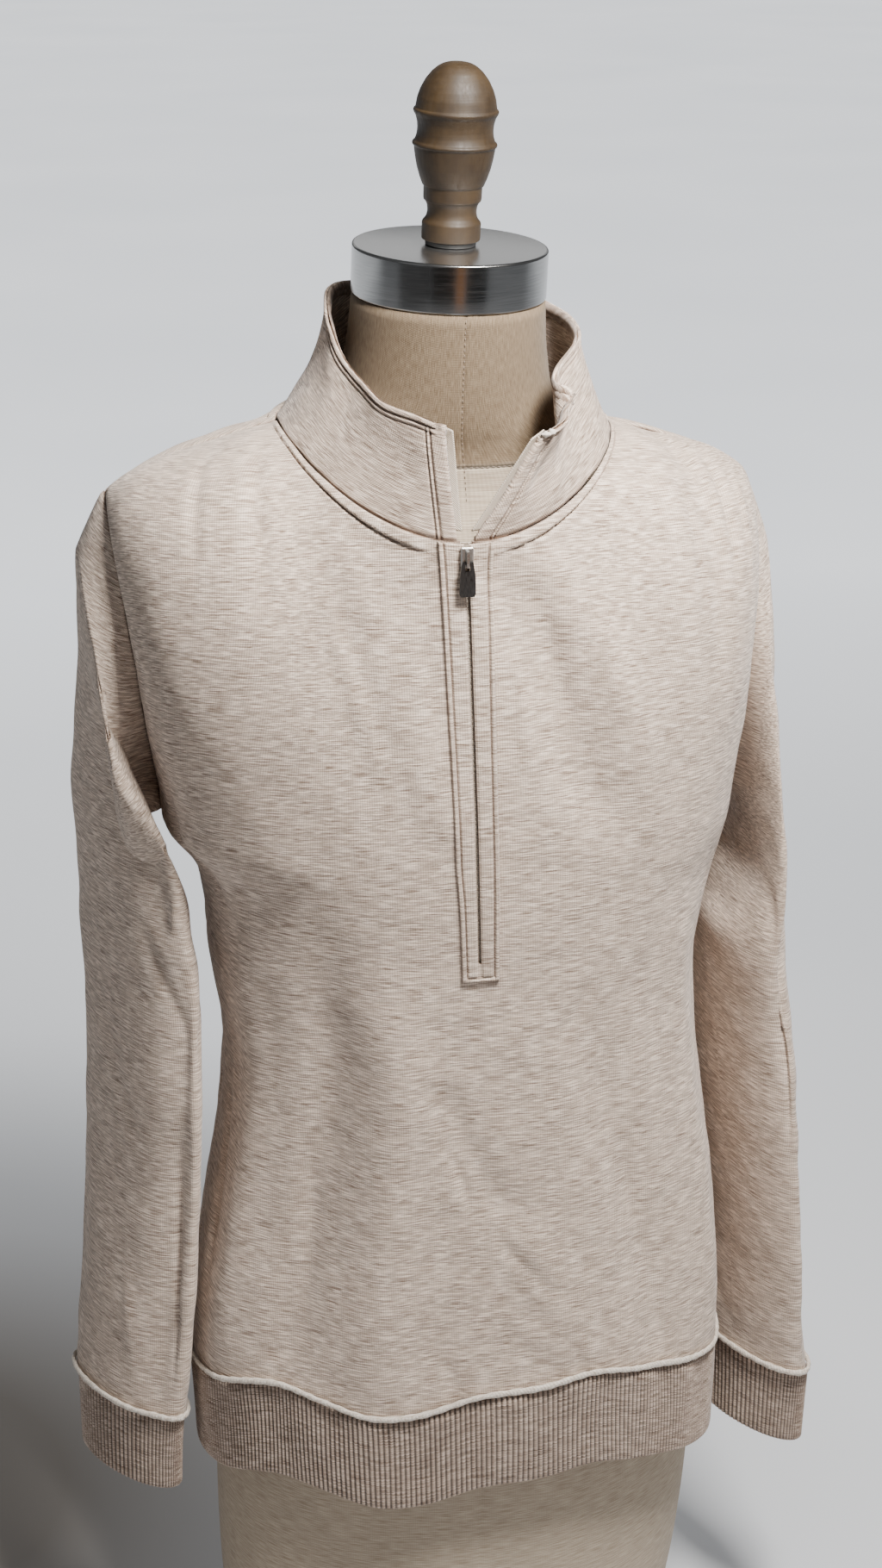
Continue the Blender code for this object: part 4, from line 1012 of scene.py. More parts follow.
def level_lengths(net_points, vs, level=0.45):
    """Distance up the cloth from a level line, along each column."""
    row = int(np.argmin(np.abs(vs - level)))
    return walked(net_points, 0, row) + net_points[row, :, 2][None, :]


HALF_COLUMNS, BACK_COLUMNS = 74, 150
half_columns = denser(((SLIT_U,), (BAND_U, 0.03, 1.5), (1.0, 0.02, 3.0), (1.0,)), HALF_COLUMNS)
front_us = np.concatenate([-half_columns[::-1], half_columns])
front_vs = np.sort(np.append(denser(((0.001,), (0.985, 0.018, 4.0), (1.0,)), 196), FOOT_V))
front_net, front_u, front_v = net(drawn_in(front), front_us, front_vs)
front_relief = 1.5 * creases(FRONT_CREASES, front_u, front_v) + edged(front_net, front_u)
front_relief = front_relief + ripples(front_net, 3, 0.00030)
shoulder_puff = between(0.80, 0.93, front_v) * groove(np.abs(front_u), 0.86, 0.15)
front_relief = front_relief + 0.0030 * shoulder_puff * (1 - between(0.97, 1.0, np.abs(front_u)))
over_zip = between(0.0, 1.0, (np.abs(front_u) - BAND_U) / 0.05) + (front_v < BOX_V - 0.03)
front_relief = front_relief * np.clip(over_zip, 0, 1)
front_points = front_net + facing(front_net) * front_relief[..., None]
front_lengths = level_lengths(smooth_panel(-1, front_u, front_v), front_vs)


def slit_open(u, v, half):
    """The cells of a net that are cloth, which are all but those between the zip's two sides."""
    return ~((v[:-1, :-1] >= FOOT_V - 1e-6) & (np.abs(u[:-1, :-1] + u[1:, 1:]) < half))


front_piece = piece(
    "front_panel",
    shell(
        front_points,
        keep=slit_open(front_u, front_v, SLIT_U),
        start=HALF_COLUMNS,
        along=front_lengths,
        lines=panel_painted_shade(front_net, front_u),
    ),
    FLEECE,
    "heather_fleece",
    "front",
    wall=WALL,
)

back_us = denser(((-1.0,), (-1.0, 0.02, 3.0), (1.0, 0.02, 3.0), (1.0,)), BACK_COLUMNS)
back_vs = denser(((0.001,), (0.985, 0.018, 4.0), (1.0,)), 190)
back_net, back_u, back_v = net(drawn_in(back), back_us, back_vs)
back_relief = 1.4 * creases(BACK_CREASES, back_u, back_v) + edged(back_net, back_u)
back_relief = back_relief + ripples(back_net, 5, 0.00035)
back_points = back_net + facing(back_net) * back_relief[..., None]
back_piece = piece(
    "back_panel",
    shell(
        back_points,
        start=BACK_COLUMNS // 2,
        along=level_lengths(smooth_panel(1, -back_u, back_v), back_vs),
        lines=panel_painted_shade(back_net, back_u),
    ),
    FLEECE,
    "heather_fleece",
    "back",
    wall=WALL,
)

# ---------------------------------------------------------------- sleeves
SLEEVE_COLUMNS = 132
for side, name, table in ((-1, "right", RIGHT_SLEEVE_CREASES), (1, "left", LEFT_SLEEVE_CREASES)):
    rounds = np.linspace(-1, 1, SLEEVE_COLUMNS + 1) * -side
    alongs = denser(((0.0,), (0.0, 0.02, 3.0), (0.99, 0.02, 2.0), (1.0,)), 210)
    sleeve_net, round_u, sleeve_v = net(lambda u, v: sleeve(side, u, v), rounds, alongs)
    share = (round_u + 1) / 2
    down = walked(sleeve_net, 0)
    relief = 1.3 * creases(table, share, sleeve_v) + ripples(sleeve_net, 7 + side, 0.00035)
    relief = relief * between(0.0, 0.05, sleeve_v) - 0.0006 * groove(down, 0, 0.0018)
    head = np.sin(np.pi * np.clip(sleeve_v / 0.20, 0, 1)) * groove(share, 0.5, 0.16)
    relief = relief + 0.0045 * head
    relief = relief * (1 - 0.7 * between(0.97, 1.0, sleeve_v))
    sleeve_points = sleeve_net + facing(sleeve_net, True) * relief[..., None]
    sleeve_points[:, -1] = sleeve_points[:, 0]
    plain = smooth_sleeve(SLEEVE_PLUS if side > 0 else SLEEVE_MINUS, side, share, sleeve_v)
    piece(
        f"sleeve_tube_{name}",
        shell(
            sleeve_points,
            closed=True,
            start=SLEEVE_COLUMNS // 2,
            along=walked(plain, 0, int(np.argmin(np.abs(alongs - 0.62)))),
            # painted shade along the armhole seam
            lines=0.8 * groove(down, 0, 0.0010),
        ),
        FLEECE,
        "heather_fleece",
        f"sleeve_{name}",
        wall=WALL,
    )


# ---------------------------------------------------------------- ribs
def seam_line(turn):
    """The lower edge of the body at a turn from the front (0) by the plus side (0.25)."""
    angle = (turn % 1.0) * 360
    ahead = np.cos(np.radians(angle)) > 0
    u = np.where(ahead, np.where(angle > 180, angle - 360, angle), 180 - angle) / 90
    return np.where(ahead[..., None], front(u, 0.0 * u), back(-u, 0.0 * u))


def rounded_band():
    """Section of a folded rib band: way down it, depth in from its outside, and how far the ribs stand."""
    half, top, fold = RIB_WALL / 2, 0.02, 0.965
    rows = [(way, 0.0, 1.0) for way in np.linspace(top, fold, 10)]
    for t in np.linspace(0, np.pi, 7)[1:-1]:
        rows.append((fold + 0.022 * np.sin(t), half - half * np.cos(t), max(0.0, np.cos(t))))
    rows += [(way, RIB_WALL, 0.15) for way in np.linspace(fold, top, 5)]
    rows.append((0.0, half, 0.3))
    return np.array(rows)


def rib_shape(turn, count):
    """Rounded ribs with narrower grooves between them."""
    wave = np.cos(2 * np.pi * turn * count)
    return 0.0011 * (np.sign(wave) * np.abs(wave) ** 0.7 + 1) / 2


def ribbed(name, ring_point, count, node):
    """A folded rib band round a ring, four columns to a rib."""
    section = rounded_band()
    turns = np.arange(4 * count + 1) / (4 * count)
    rows = np.append(np.arange(len(section)), 0)
    turn, row = np.meshgrid(turns, rows)
    points = ring_point(turn, section[row.astype(int)], count)
    points[:, -1] = points[:, 0]
    bm = shell(points, closed=True, around=RIB_PITCH * count * turn)
    bmesh.ops.recalc_face_normals(bm, faces=bm.faces)
    return piece(name, bm, RIB_KNIT, "heather_rib", node)


def hem_point(turn, profile, count):
    """The hem band hangs from the body's lower edge and draws in a little towards its foot."""
    top = seam_line(turn)
    way = profile[..., 0]
    low_x, low_y = hem_ring((turn % 1.0) * 360, 0.186 + 0 * turn)
    drop = UP * (0.0006 + 0.0665 * way)[..., None]
    ease_in = (0.35 * way)[..., None]
    low = stack(low_x, low_y, 0 * low_x)
    here = top * LEVEL * (1 - ease_in) + low * ease_in + top * UP - drop
    pull = 0.0009 * np.sin(2 * np.pi * turn * 9 + 1.1) * np.sin(np.pi * way)
    pull = pull + 0.0008 * np.sin(2 * np.pi * turn * 23) * (1 - way)
    ridge = rib_shape(turn, count) * profile[..., 2] + pull
    return here + unit(here * LEVEL) * (ridge - profile[..., 1])[..., None]


def cuff_point(table, side):
    def point(turn, profile, count):
        row = profile[..., 0] * 2
        here = ring(table, row, side, turn)
        centre = stack(ease(table, "x", row), ease(table, "y", row), here[..., 2])
        ridge = rib_shape(turn, count) * profile[..., 2]
        return here + unit(here - centre) * (ridge - profile[..., 1])[..., None]

    return point


hem_piece = ribbed("hem_band", hem_point, 330, "hem_rib")
cuff_pieces = {
    "right": ribbed("cuff_band_right", cuff_point(CUFF_MINUS, -1), 78, "cuff_right"),
    "left": ribbed("cuff_band_left", cuff_point(CUFF_PLUS, 1), 78, "cuff_left"),
}

# ---------------------------------------------------------------- seam rolls
ROLL = 0.0013  # radius of a seam roll


def roll_piece(name, line, count, node):
    """The pale roll of the seam allowance, pinched by each overlock stitch."""
    turns = np.arange(count + 1) / count
    rounds = 2 * np.pi * np.arange(11) / 10
    turn, angle = np.meshgrid(turns, rounds)
    here = line(turn)
    out = unit(np.cross(line(turn + 0.002) - line(turn - 0.002), UP))
    uneven = 1 + 0.10 * np.sin(turn * count * 0.9) + 0.08 * np.sin(turn * 61)
    across = (ROLL * 1.05 * uneven * np.cos(angle) + 1.1 * ROLL + SEAM)[..., None]
    up = (0.0022 + 1.6 * ROLL * uneven * np.sin(angle))[..., None]
    points = here + out * across + UP * up
    points[:, -1] = points[:, 0]
    points[-1] = points[0]
    bm = shell(points, closed=True)
    bmesh.ops.recalc_face_normals(bm, faces=bm.faces)
    return piece(name, bm, ROLL_THREAD, "pale_seam", node)


def cuff_line(side):
    return lambda turn: sleeve(side, (side * 2 * turn) % 2.0 - 1, 1.0 + 0 * turn)


rolls = [
    roll_piece("hem_seam_roll", seam_line, 700, "hem_roll"),
    roll_piece("cuff_seam_roll_right", cuff_line(-1), 200, "cuff_roll_right"),
    roll_piece("cuff_seam_roll_left", cuff_line(1), 200, "cuff_roll_left"),
]

# ---------------------------------------------------------------- collar
COLLAR_COLUMNS = 240
collar_us = denser(((-1.0,), (-0.955, 0.025, 6.0), (0.955, 0.025, 6.0), (1.0,)), COLLAR_COLUMNS)
collar_vs = np.append([-0.03, -0.015], denser(((0.0,), (0.0, 0.05, 0.8), (0.94, 0.06, 5.0), (1.0,)), 60))


def seated_collar(u, v):
    """The collar with its foot tucked down behind the neck seam."""
    here = collar(u, np.maximum(v, 0))
    sunk = np.clip(-v / 0.03, 0, 1)[..., None]
    return here - sunk * (unit(here * LEVEL) * 0.0010 + UP * 0.0030)


collar_net, collar_u, collar_v = net(seated_collar, collar_us, collar_vs)
from_rim = -walked(collar_net, 0, len(collar_vs) - 1)
from_foot = walked(collar_net, 0)
from_zip = np.minimum(walked(collar_net, 1, 0), -walked(collar_net, 1, len(collar_us) - 1))
rim_relief = (
    0.0010 * between(0.0, 0.0008, from_rim) * (1 - between(0.0024, RIM_STITCH, from_rim))
    - 0.0007 * groove(from_rim, RIM_STITCH, 0.0006)
    + 0.0005 * groove(from_rim, 0.0049, 0.0010)
    - 0.0006 * groove(from_rim, LOW_RIM_STITCH, 0.0006)
)
zip_relief = (
    0.0006 * (1 - between(0.0070, ZIP_STITCH, from_zip))
    - 0.0010 * groove(from_zip, ZIP_STITCH, 0.0006)
    + 0.0005 * groove(from_zip, 0.0101, 0.0009)
    - 0.0009 * groove(from_zip, FAR_ZIP_STITCH, 0.0006)
)
below_rim = between(0.003, 0.006, from_rim)
clear_of_zip = between(0.004, 0.007, from_zip)
collar_relief = (
    rim_relief * clear_of_zip
    + zip_relief * below_rim
    - 0.0010 * groove(from_foot, 0, 0.0018)
    + ripples(collar_net, 11, 0.00030) * between(0, 0.01, from_rim)
    + ripples(collar_net, 23, 0.00085, 0.030, 0.070) * between(0.35, 1.0, collar_v)
)
# Rumples of the collar: where each lies, how wide and tall it is, and its height
RUMPLES = (
    (0.86, 0.98, 0.045, 0.30, 0.0075),
    (0.75, 0.92, 0.050, 0.30, -0.0050),
    (0.93, 0.50, 0.030, 0.20, -0.0020),
    (-0.93, 0.80, 0.050, 0.25, 0.0012),
    (-0.72, 0.70, 0.040, 0.25, -0.0014),
    (-0.62, 0.85, 0.040, 0.20, 0.0012),
    (0.72, 0.50, 0.05, 0.22, -0.0024),
    (0.84, 0.30, 0.03, 0.18, 0.0018),
)
for at_u, at_v, wide, tall, height in RUMPLES:
    collar_relief = collar_relief + height * np.exp(
        -(((collar_u - at_u) / wide) ** 2) - (((collar_v - at_v) / tall) ** 2)
    )
# Painted shade in the stitch grooves along the rim and the zip edges, and in a line above the collar's foot
rim_lines = groove(from_rim, RIM_STITCH, 0.0005) + groove(from_rim, LOW_RIM_STITCH, 0.0005)
zip_lines = groove(from_zip, ZIP_STITCH, 0.0005) + groove(from_zip, FAR_ZIP_STITCH, 0.0005)
foot_line = groove(from_foot, 0.0032, 0.0010)
collar_painted_shade = 0.85 * foot_line + 0.70 * rim_lines * clear_of_zip + 0.72 * zip_lines * below_rim
collar_points = collar_net - facing(collar_net) * collar_relief[..., None]
collar_piece = piece(
    "stand_collar",
    shell(collar_points, flip=True, start=COLLAR_COLUMNS // 2, lines=np.clip(collar_painted_shade, 0, 1)),
    COLLAR_KNIT,
    "heather_fleece",
    "collar",
    wall=COLLAR_WALL,
)


# ---------------------------------------------------------------- zip
def off_front(u, v, lift):
    """A point over (or, below 0, under) the outside of the front."""
    everywhere = ((0, -9, 0, 9, 9, lift),)
    return pushed(front, u, v, everywhere)


BAND_COLUMNS = 30
band_half = denser(((SHUT_U,), (SHUT_U, 0.004, 2.0), (BAND_U, 0.030, 2.0), (BAND_U,)), BAND_COLUMNS)
band_us = np.concatenate([-band_half[::-1], band_half])
band_vs = np.sort(np.append(denser(((BOX_V,), (FOOT_V, 0.02, 3.0), (BAND_TOP,)), 150), FOOT_V))
band_net, band_u, band_v = net(lambda u, v: off_front(u, v, SEAM + BAND_WALL), band_us, band_vs)
on_plus = band_u > 0
inner_edge = np.where(on_plus, walked(band_net, 1, BAND_COLUMNS), -walked(band_net, 1, BAND_COLUMNS - 1))
outer_edge = np.where(on_plus, -walked(band_net, 1, 2 * BAND_COLUMNS - 1), walked(band_net, 1, 0))
from_end = walked(band_net, 0)
outer_edge = np.minimum(outer_edge, from_end)
band_relief = (
    0.0006 * between(0.0, 0.0010, outer_edge) * (1 - between(0.0022, 0.0032, outer_edge))
    - 0.0011 * groove(outer_edge, BAND_STITCH, 0.0005)
    - 0.0016 * (1 - between(0.0, 0.0008, outer_edge))
    + (0.0003 - 0.0009 * (1 - between(0.0, 0.0016, inner_edge))) * between(BAND_STITCH, 0.0046, outer_edge)
)
# Painted shade in the band's stitch groove, at its outer edge and along the slit between the bands
band_painted_shade = np.clip(
    0.62 * groove(outer_edge, BAND_STITCH, 0.0005)
    + 0.62 * (1 - between(0.0002, 0.0009, outer_edge))
    + 0.70 * (1 - between(0.0000, 0.0007, inner_edge)) * (band_v > FOOT_V),
    0,
    1,
)
band_points = band_net + facing(band_net) * band_relief[..., None]
band_piece = piece(
    "zip_bands",
    shell(
        band_points,
        keep=slit_open(band_u, band_v, SHUT_U),
        start=BAND_COLUMNS,
        along=np.interp(band_v, front_vs, front_lengths[:, HALF_COLUMNS]),
        lines=band_painted_shade,
    ),
    FLEECE,
    "heather_fleece",
    "zip_band",
    wall=BAND_WALL,
)

def zip_tape_point(u, v):
    """The tape behind the slit, with the closed teeth as a ribbed cord up its middle."""
    cord = COIL * (1 - between(0.35 * SLIT_U, 0.75 * SLIT_U, np.abs(u))) * between(FOOT_V, FOOT_V + 0.004, v)
    cord = cord * (1 + 0.25 * np.sin(v * 1150))
    return off_front(u, v, -WALL - 2 * SEAM) + np.array([0.0, -1.0, 0.0]) * cord[..., None]


TAPE_COLUMNS = 40
tape_us = np.linspace(-TAPE_U, TAPE_U, TAPE_COLUMNS + 1)
tape_net, _, _ = net(zip_tape_point, tape_us, np.linspace(BOX_V, BAND_TOP, 260))
tape_bm = shell(tape_net, start=TAPE_COLUMNS // 2)
tape_piece = piece("zip_tape_joined", tape_bm, TAPE_WEAVE, "zip_tape", "zip_tape", wall=TAPE_WALL)


def collar_tape(side):
    """The tape along one collar edge: across runs from under the collar (0) to its free edge (1)."""

    def point(across, v):
        edge_u = side * (1 + 0 * v)
        near = collar(edge_u, v)
        along = unit(near - collar(side * (0.99 + 0 * v), v))
        up = collar(edge_u, np.clip(v + 0.01, 0, 1)) - collar(edge_u, v - 0.01)
        away = unit(np.cross(along, up) * side)
        reach = (-0.007 + 0.0105 * across)[..., None]
        depth = (COLLAR_WALL + 2 * SEAM + 2 * SEAM * (1 - across))[..., None]
        return near + along * reach + away * depth

    return point


for side, name in ((-1, "right"), (1, "left")):
    strip_net, _, _ = net(collar_tape(side), np.linspace(0, 1, 13), np.linspace(0.06, 0.97, 60))
    strip = shell(strip_net, flip=side > 0)
    names = (f"collar_tape_{name}", f"zip_tape_{name}")
    piece(names[0], strip, TAPE_WEAVE, "zip_tape", names[1], wall=TAPE_WALL)

for node, stuff in (("zip_slider", SLIDER_METAL), ("zip_pull", PULL_METAL)):
    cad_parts[node].data.materials.clear()
    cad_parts[node].data.materials.append(stuff)


# ---------------------------------------------------------------- sewing
def read_at(at, total, points):
    """Points of a line at these walked distances."""
    return np.stack([np.interp(at, total, points[:, k]) for k in range(3)], -1)


def stitches(name, rows, length=0.0024, gap=0.0010, thick=0.00026):
    """Runs of small thread stitches, each a slim bead along its line."""
    joined = bmesh.new()
    for points, outs in rows:
        steps = np.linalg.norm(np.diff(points, axis=0), axis=-1)
        total = np.insert(np.cumsum(steps), 0, 0.0)
        at = np.arange(length / 2, total[-1] - length / 2, length + gap)
        ways = read_at(at + 1e-3, total, points) - read_at(at - 1e-3, total, points)
        for spot, way, out in zip(read_at(at, total, points), ways, read_at(at, total, outs)):
            x = Vector(way).normalized()
            z = Vector(out)
            z = (z - x * z.dot(x)).normalized()
            y = z.cross(x)
            turn = Matrix((x, y, z)).transposed().to_4x4()
            turn.translation = Vector(spot)
            size = Matrix.Diagonal((length / 2, thick, thick, 1.0))
            bmesh.ops.create_uvsphere(joined, u_segments=6, v_segments=4, radius=1.0, matrix=turn @ size)
    bmesh.ops.recalc_face_normals(joined, faces=joined.faces)
    return piece(name, joined, THREAD, "pale_seam")


def line_on(points, distance, at, axis=0, span=slice(None), sign=1):
    """The line on a net at a set walked distance from one of its edges, with the way the net faces."""
    away = facing(points) * sign
    spots, outs = [], []
    for lane in range(points.shape[1 - axis]):
        track, where, out = (np.take(values, lane, axis=1 - axis) for values in (distance, points, away))
        order = np.argsort(track)
        spots.append(read_at(at, track[order], where[order]))
        outs.append(read_at(at, track[order], out[order]))
    return np.array(spots)[span], np.array(outs)[span]


front_down = -walked(front_points, 0, front_points.shape[0] - 1)
back_down = -walked(back_points, 0, back_points.shape[0] - 1)
neck_left = (front_us < -BAND_U) & (front_us > -NECK_SHARE + 0.01)
neck_right = (front_us > BAND_U) & (front_us < NECK_SHARE - 0.01)
neck_back = np.abs(back_us) < NECK_SHARE - 0.01
seam_rows = [
    line_on(front_points, front_down, NECK_STITCH, span=neck_left),
    line_on(front_points, front_down, NECK_STITCH, span=neck_right),
    line_on(back_points, back_down, NECK_STITCH, span=neck_back),
]
collar_mid = np.abs(collar_us) < 0.975
collar_tall = (collar_vs < 0.95) & (collar_vs > 0)
seam_rows.append(line_on(collar_points, from_rim, RIM_STITCH, span=collar_mid, sign=-1))
for from_end in (walked(collar_net, 1, 0), -walked(collar_net, 1, COLLAR_COLUMNS - 1)):
    for at in (ZIP_STITCH, FAR_ZIP_STITCH):
        seam_rows.append(line_on(collar_points, from_end, at, axis=1, span=collar_tall, sign=-1))
band_tall = (band_vs < BAND_TOP - 0.004) & (band_vs > BOX_V + 0.02)
for sign in (-1, 1):
    lane = np.where(np.sign(band_u) == sign, outer_edge, 9.0)
    seam_rows.append(line_on(band_points, lane, BAND_STITCH, axis=1, span=band_tall))
seam_thread = stitches("seam_stitches", seam_rows)

# The knot's two lumps: how far each lies from the corner, and its size
LUMPS = (
    ((-0.0012, 0, 0), (0.0026, 0.0019, 0.0018)),
    ((0.0022, 0.0006, 0.0010), (0.0021, 0.0017, 0.0016)),
)


def knot():
    """The small lump of bound cloth at the corner of the collar's plus side."""
    bm = bmesh.new()
    spot = Vector(collar(np.array([0.992]), np.array([0.985]))[0]) + Vector((0.0002, -0.0014, 0.0010))
    for shift, size in LUMPS:
        place = Matrix.Translation(spot + Vector(shift)) @ Matrix.Diagonal((*size, 1.0))
        bmesh.ops.create_uvsphere(bm, u_segments=20, v_segments=12, radius=1.0, matrix=place)
    for vertex in bm.verts:
        x, y, z = vertex.co
        vertex.co += vertex.normal * 0.00022 * (np.sin(2300 * x) + np.sin(2700 * z + 1) + np.sin(2100 * y))
    bmesh.ops.recalc_face_normals(bm, faces=bm.faces)
    return piece("collar_corner_knot", bm, ROLL_THREAD, "pale_seam")


corner_knot = knot()


# ---------------------------------------------------------------- the form
FORM_FRONT = 0.75  # turn of the form's centre front


def neck_seam_height(turns):
    """The seam at the foot of the form's neck, which dips at the shoulders."""
    return NECK_SEAM + 0.030 * (1 - np.abs(np.sin(2 * np.pi * turns)))


form_turns = denser(((0.0,), (0.75, 0.010, 5.0), (0.70, 0.008, 3.0), (0.80, 0.008, 3.0), (1.0,)), 170)
form_heights = denser(((0.0,), (NECK_SEAM, 0.012, 8.0), (NECK_TOP,)), 190)
form_net, form_t, form_h = net(form_ring, form_turns, form_heights)
girth = walked(form_net, 1, 0)
length_round = girth[:, -1:]
neck_round = length_round[int(np.argmin(np.abs(form_heights - 0.90)))]
form_around = (form_t - FORM_FRONT) * np.where(form_h > 0.80, neck_round, length_round)


def form_seam(turn_at):
    """The groove of a seam that runs up the form at a turn."""
    return 0.0006 * groove(np.abs(form_t - turn_at) * length_round, 0, 0.0009)


bend = 0.010 * np.sin(form_h * 7)
below_neck = 1 - between(NECK_SEAM - 0.02, NECK_SEAM, form_h)
form_relief = -form_seam(FORM_FRONT + 0.006)
for at in (FORM_FRONT - 0.085 + bend, FORM_FRONT + 0.085 - bend, 0.25, 0.165, 0.335):
    form_relief = form_relief - form_seam(at) * below_neck
neck_slope = neck_seam_height(form_t)
form_relief = form_relief - 0.0008 * groove(form_h, neck_slope, 0.0010)
form_points = form_net + facing(form_net, True) * form_relief[..., None]
form_points[:, -1] = form_points[:, 0]
form_bm = shell(form_points, closed=True, along=form_h - neck_slope + NECK_SEAM, around=form_around)
bmesh.ops.holes_fill(form_bm, edges=form_bm.edges, sides=0)
bmesh.ops.recalc_face_normals(form_bm, faces=form_bm.faces)
piece("form_body", form_bm, LINEN_WEAVE, "form_linen", "form_torso")

centre_heights = np.linspace(NECK_TOP - 0.002, NECK_SEAM - 0.02, 90)
centre_line = form_ring(FORM_FRONT + 0.006 + 0 * centre_heights, centre_heights)
across_turns = np.linspace(0.60, 0.90, 60)
across_line = form_ring(across_turns, neck_seam_height(across_turns))
form_rows = [
    (centre_line, np.tile([0.0, -1.0, 0.0], (90, 1))),
    (across_line, (across_line - np.array([0, 0.02, 0.0])) * LEVEL),
]
stitches("form_stitches", form_rows, 0.0020, 0.0012, 0.00022)


def lathe(name, outline, foot, sides, stuff, slot, node):
    """A turned piece that leans with the neck; the outline gives height and radius."""
    bm = bmesh.new()
    points = [bm.verts.new((r, 0, h)) for h, r in outline]
    edges = [bm.edges.new(pair) for pair in zip(points, points[1:])]
    bmesh.ops.spin(
        bm, geom=points + edges, axis=(0, 0, 1), cent=(0, 0, 0), angle=2 * np.pi, steps=sides, use_merge=True
    )
    bmesh.ops.remove_doubles(bm, verts=bm.verts, dist=1e-6)
    bmesh.ops.holes_fill(bm, edges=bm.edges, sides=0)
    bmesh.ops.recalc_face_normals(bm, faces=bm.faces)
    on_top = bm.verts.layers.float.new("lid")
    high = max(vertex.co.z for vertex in bm.verts) - 1e-5
    for vertex in bm.verts:
        vertex[on_top] = float(vertex.co.z > high)
        vertex.co = leaned(vertex.co.x, vertex.co.y, vertex.co.z + foot)
    made = piece(name, bm, stuff, slot, node)
    made.data.set_sharp_from_angle(angle=np.radians(38))


def softened(corners, radius, steps=5):
    """An outline with its inner corners rounded."""
    corners = [np.array(c) for c in corners]
    line = [corners[0]]
    for before, corner, after in zip(corners, corners[1:], corners[2:]):
        way_in, way_out = corner - before, after - corner
        reach = min(radius, 0.45 * np.linalg.norm(way_in), 0.45 * np.linalg.norm(way_out))
        start = corner - way_in / np.linalg.norm(way_in) * reach
        end = corner + way_out / np.linalg.norm(way_out) * reach
        for t in np.linspace(0, 1, steps):
            line.append((1 - t) ** 2 * start + 2 * t * (1 - t) * corner + t * t * end)
    return [tuple(float(c) for c in p) for p in [*line, corners[-1]]]


# Outlines of the turned pieces: height and radius
CAP_OUTLINE = ((0.0, 0.0), (0.0, CAP_RADIUS), (CAP_TALL, CAP_RADIUS), (CAP_TALL, 0.012), (CAP_TALL, 0.0))
WASHER_OUTLINE = ((0.0, 0.0), (0.0, 0.0145), (WASHER_TALL, 0.0145), (WASHER_TALL, 0.0))
FINIAL_OUTLINE = (
    (0.0, 0.0), (0.0, 0.0162), (0.0006, 0.0167), (0.0096, 0.0168), (0.0106, 0.0163),
    (0.0125, 0.0146), (0.0158, 0.0139), (0.0195, 0.0143), (0.0215, 0.0154), (0.0222, 0.0163),
    (0.0235, 0.0165), (0.0300, 0.0166), (0.0306, 0.0174), (0.0345, 0.0190), (0.0400, 0.0208),
    (0.0450, 0.0219), (0.0500, 0.0227), (0.0518, 0.0229), (0.0524, 0.0237), (0.0532, 0.0240),
    (0.0541, 0.0237), (0.0550, 0.0226), (0.0580, 0.0216), (0.0614, 0.0213), (0.0650, 0.0216),
    (0.0685, 0.0226), (0.0700, 0.0236), (0.0712, 0.0240), (0.0722, 0.0237), (0.0728, 0.0229),
    (0.0782, 0.0220), (0.0832, 0.0203), (0.0881, 0.0177), (0.0925, 0.0142), (0.0952, 0.0110),
    (0.0967, 0.0082), (0.0974, 0.0058), (0.0977, 0.0036), (0.0978, 0.0),
)
for name, outline, foot, sides, stuff, slot, node in (
    ("steel_neck_cap", softened(CAP_OUTLINE, 0.0016), SEAM, 144, CAP_STEEL, "brushed_steel", "neck_cap"),
    (
        "rubber_washer",
        softened(WASHER_OUTLINE, 0.0006),
        CAP_TALL + 2 * SEAM,
        64,
        RUBBER,
        "black_washer",
        "finial_washer",
    ),
    (
        "turned_finial",
        softened(FINIAL_OUTLINE, 0.0011, 4),
        CAP_TALL + WASHER_TALL + 3 * SEAM,
        96,
        WOOD_PAINT,
        "turned_wood",
        "finial",
    ),
):
    lathe(name, outline, NECK_TOP + foot, sides, stuff, slot, node)


# ---------------------------------------------------------------- floor, light, camera
def flat_square(name, size, turn, stuff, seen=False):
    bm = bmesh.new()
    bmesh.ops.create_grid(bm, x_segments=8, y_segments=8, size=size, matrix=turn)
    mesh = bpy.data.meshes.new(name)
    bm.to_mesh(mesh)
    bm.free()
    mesh.materials.append(stuff)
    made = bpy.data.objects.new(name, mesh)
    bpy.context.scene.collection.objects.link(made)
    made.visible_camera = seen


def floor_finish():
    """Pale floor with a painted shadow, a soft dark patch behind the form, and a painted glow that makes it
    brighter towards its far end.
    """
    made, tree, shader = finish_of("pale_floor", 0.85)
    way = object_way(tree)
    # Painted shadow: the floor is darkened in a soft patch behind the form
    from_painted_shadow = distance_to(tree, way, (-0.42, 0.22, 0.0))
    painted_shadow = ramp(tree, from_painted_shadow, ((0.16, grey(0.0)), (0.40, grey(0.55)), (0.80, grey(1.0))))
    clouds = cloud(tree, stretched(tree, way, (1.2, 1.2, 1.2)), 2.0, 0.5)
    pale = ramp(tree, clouds, ((0.3, (0.70, 0.725, 0.76)), (0.7, (0.745, 0.765, 0.795))))
    colour = blended(tree, painted_shadow, (0.20, 0.185, 0.17), pale)
    # Painted light: the floor glows, more strongly towards its far end
    far = add(tree, "ShaderNodeSeparateXYZ", Vector=way).outputs["Y"]
    glow = add(tree, "ShaderNodeMapRange", Value=far)
    for key, value in (("From Min", 0.0), ("From Max", 2.6), ("To Min", 0.24), ("To Max", 1.50)):
        glow.inputs[key].default_value = value
    plugged(
        tree, shader, Base_Color=colour, Emission_Color=colour, Emission_Strength=glow.outputs["Result"]
    )
    return made


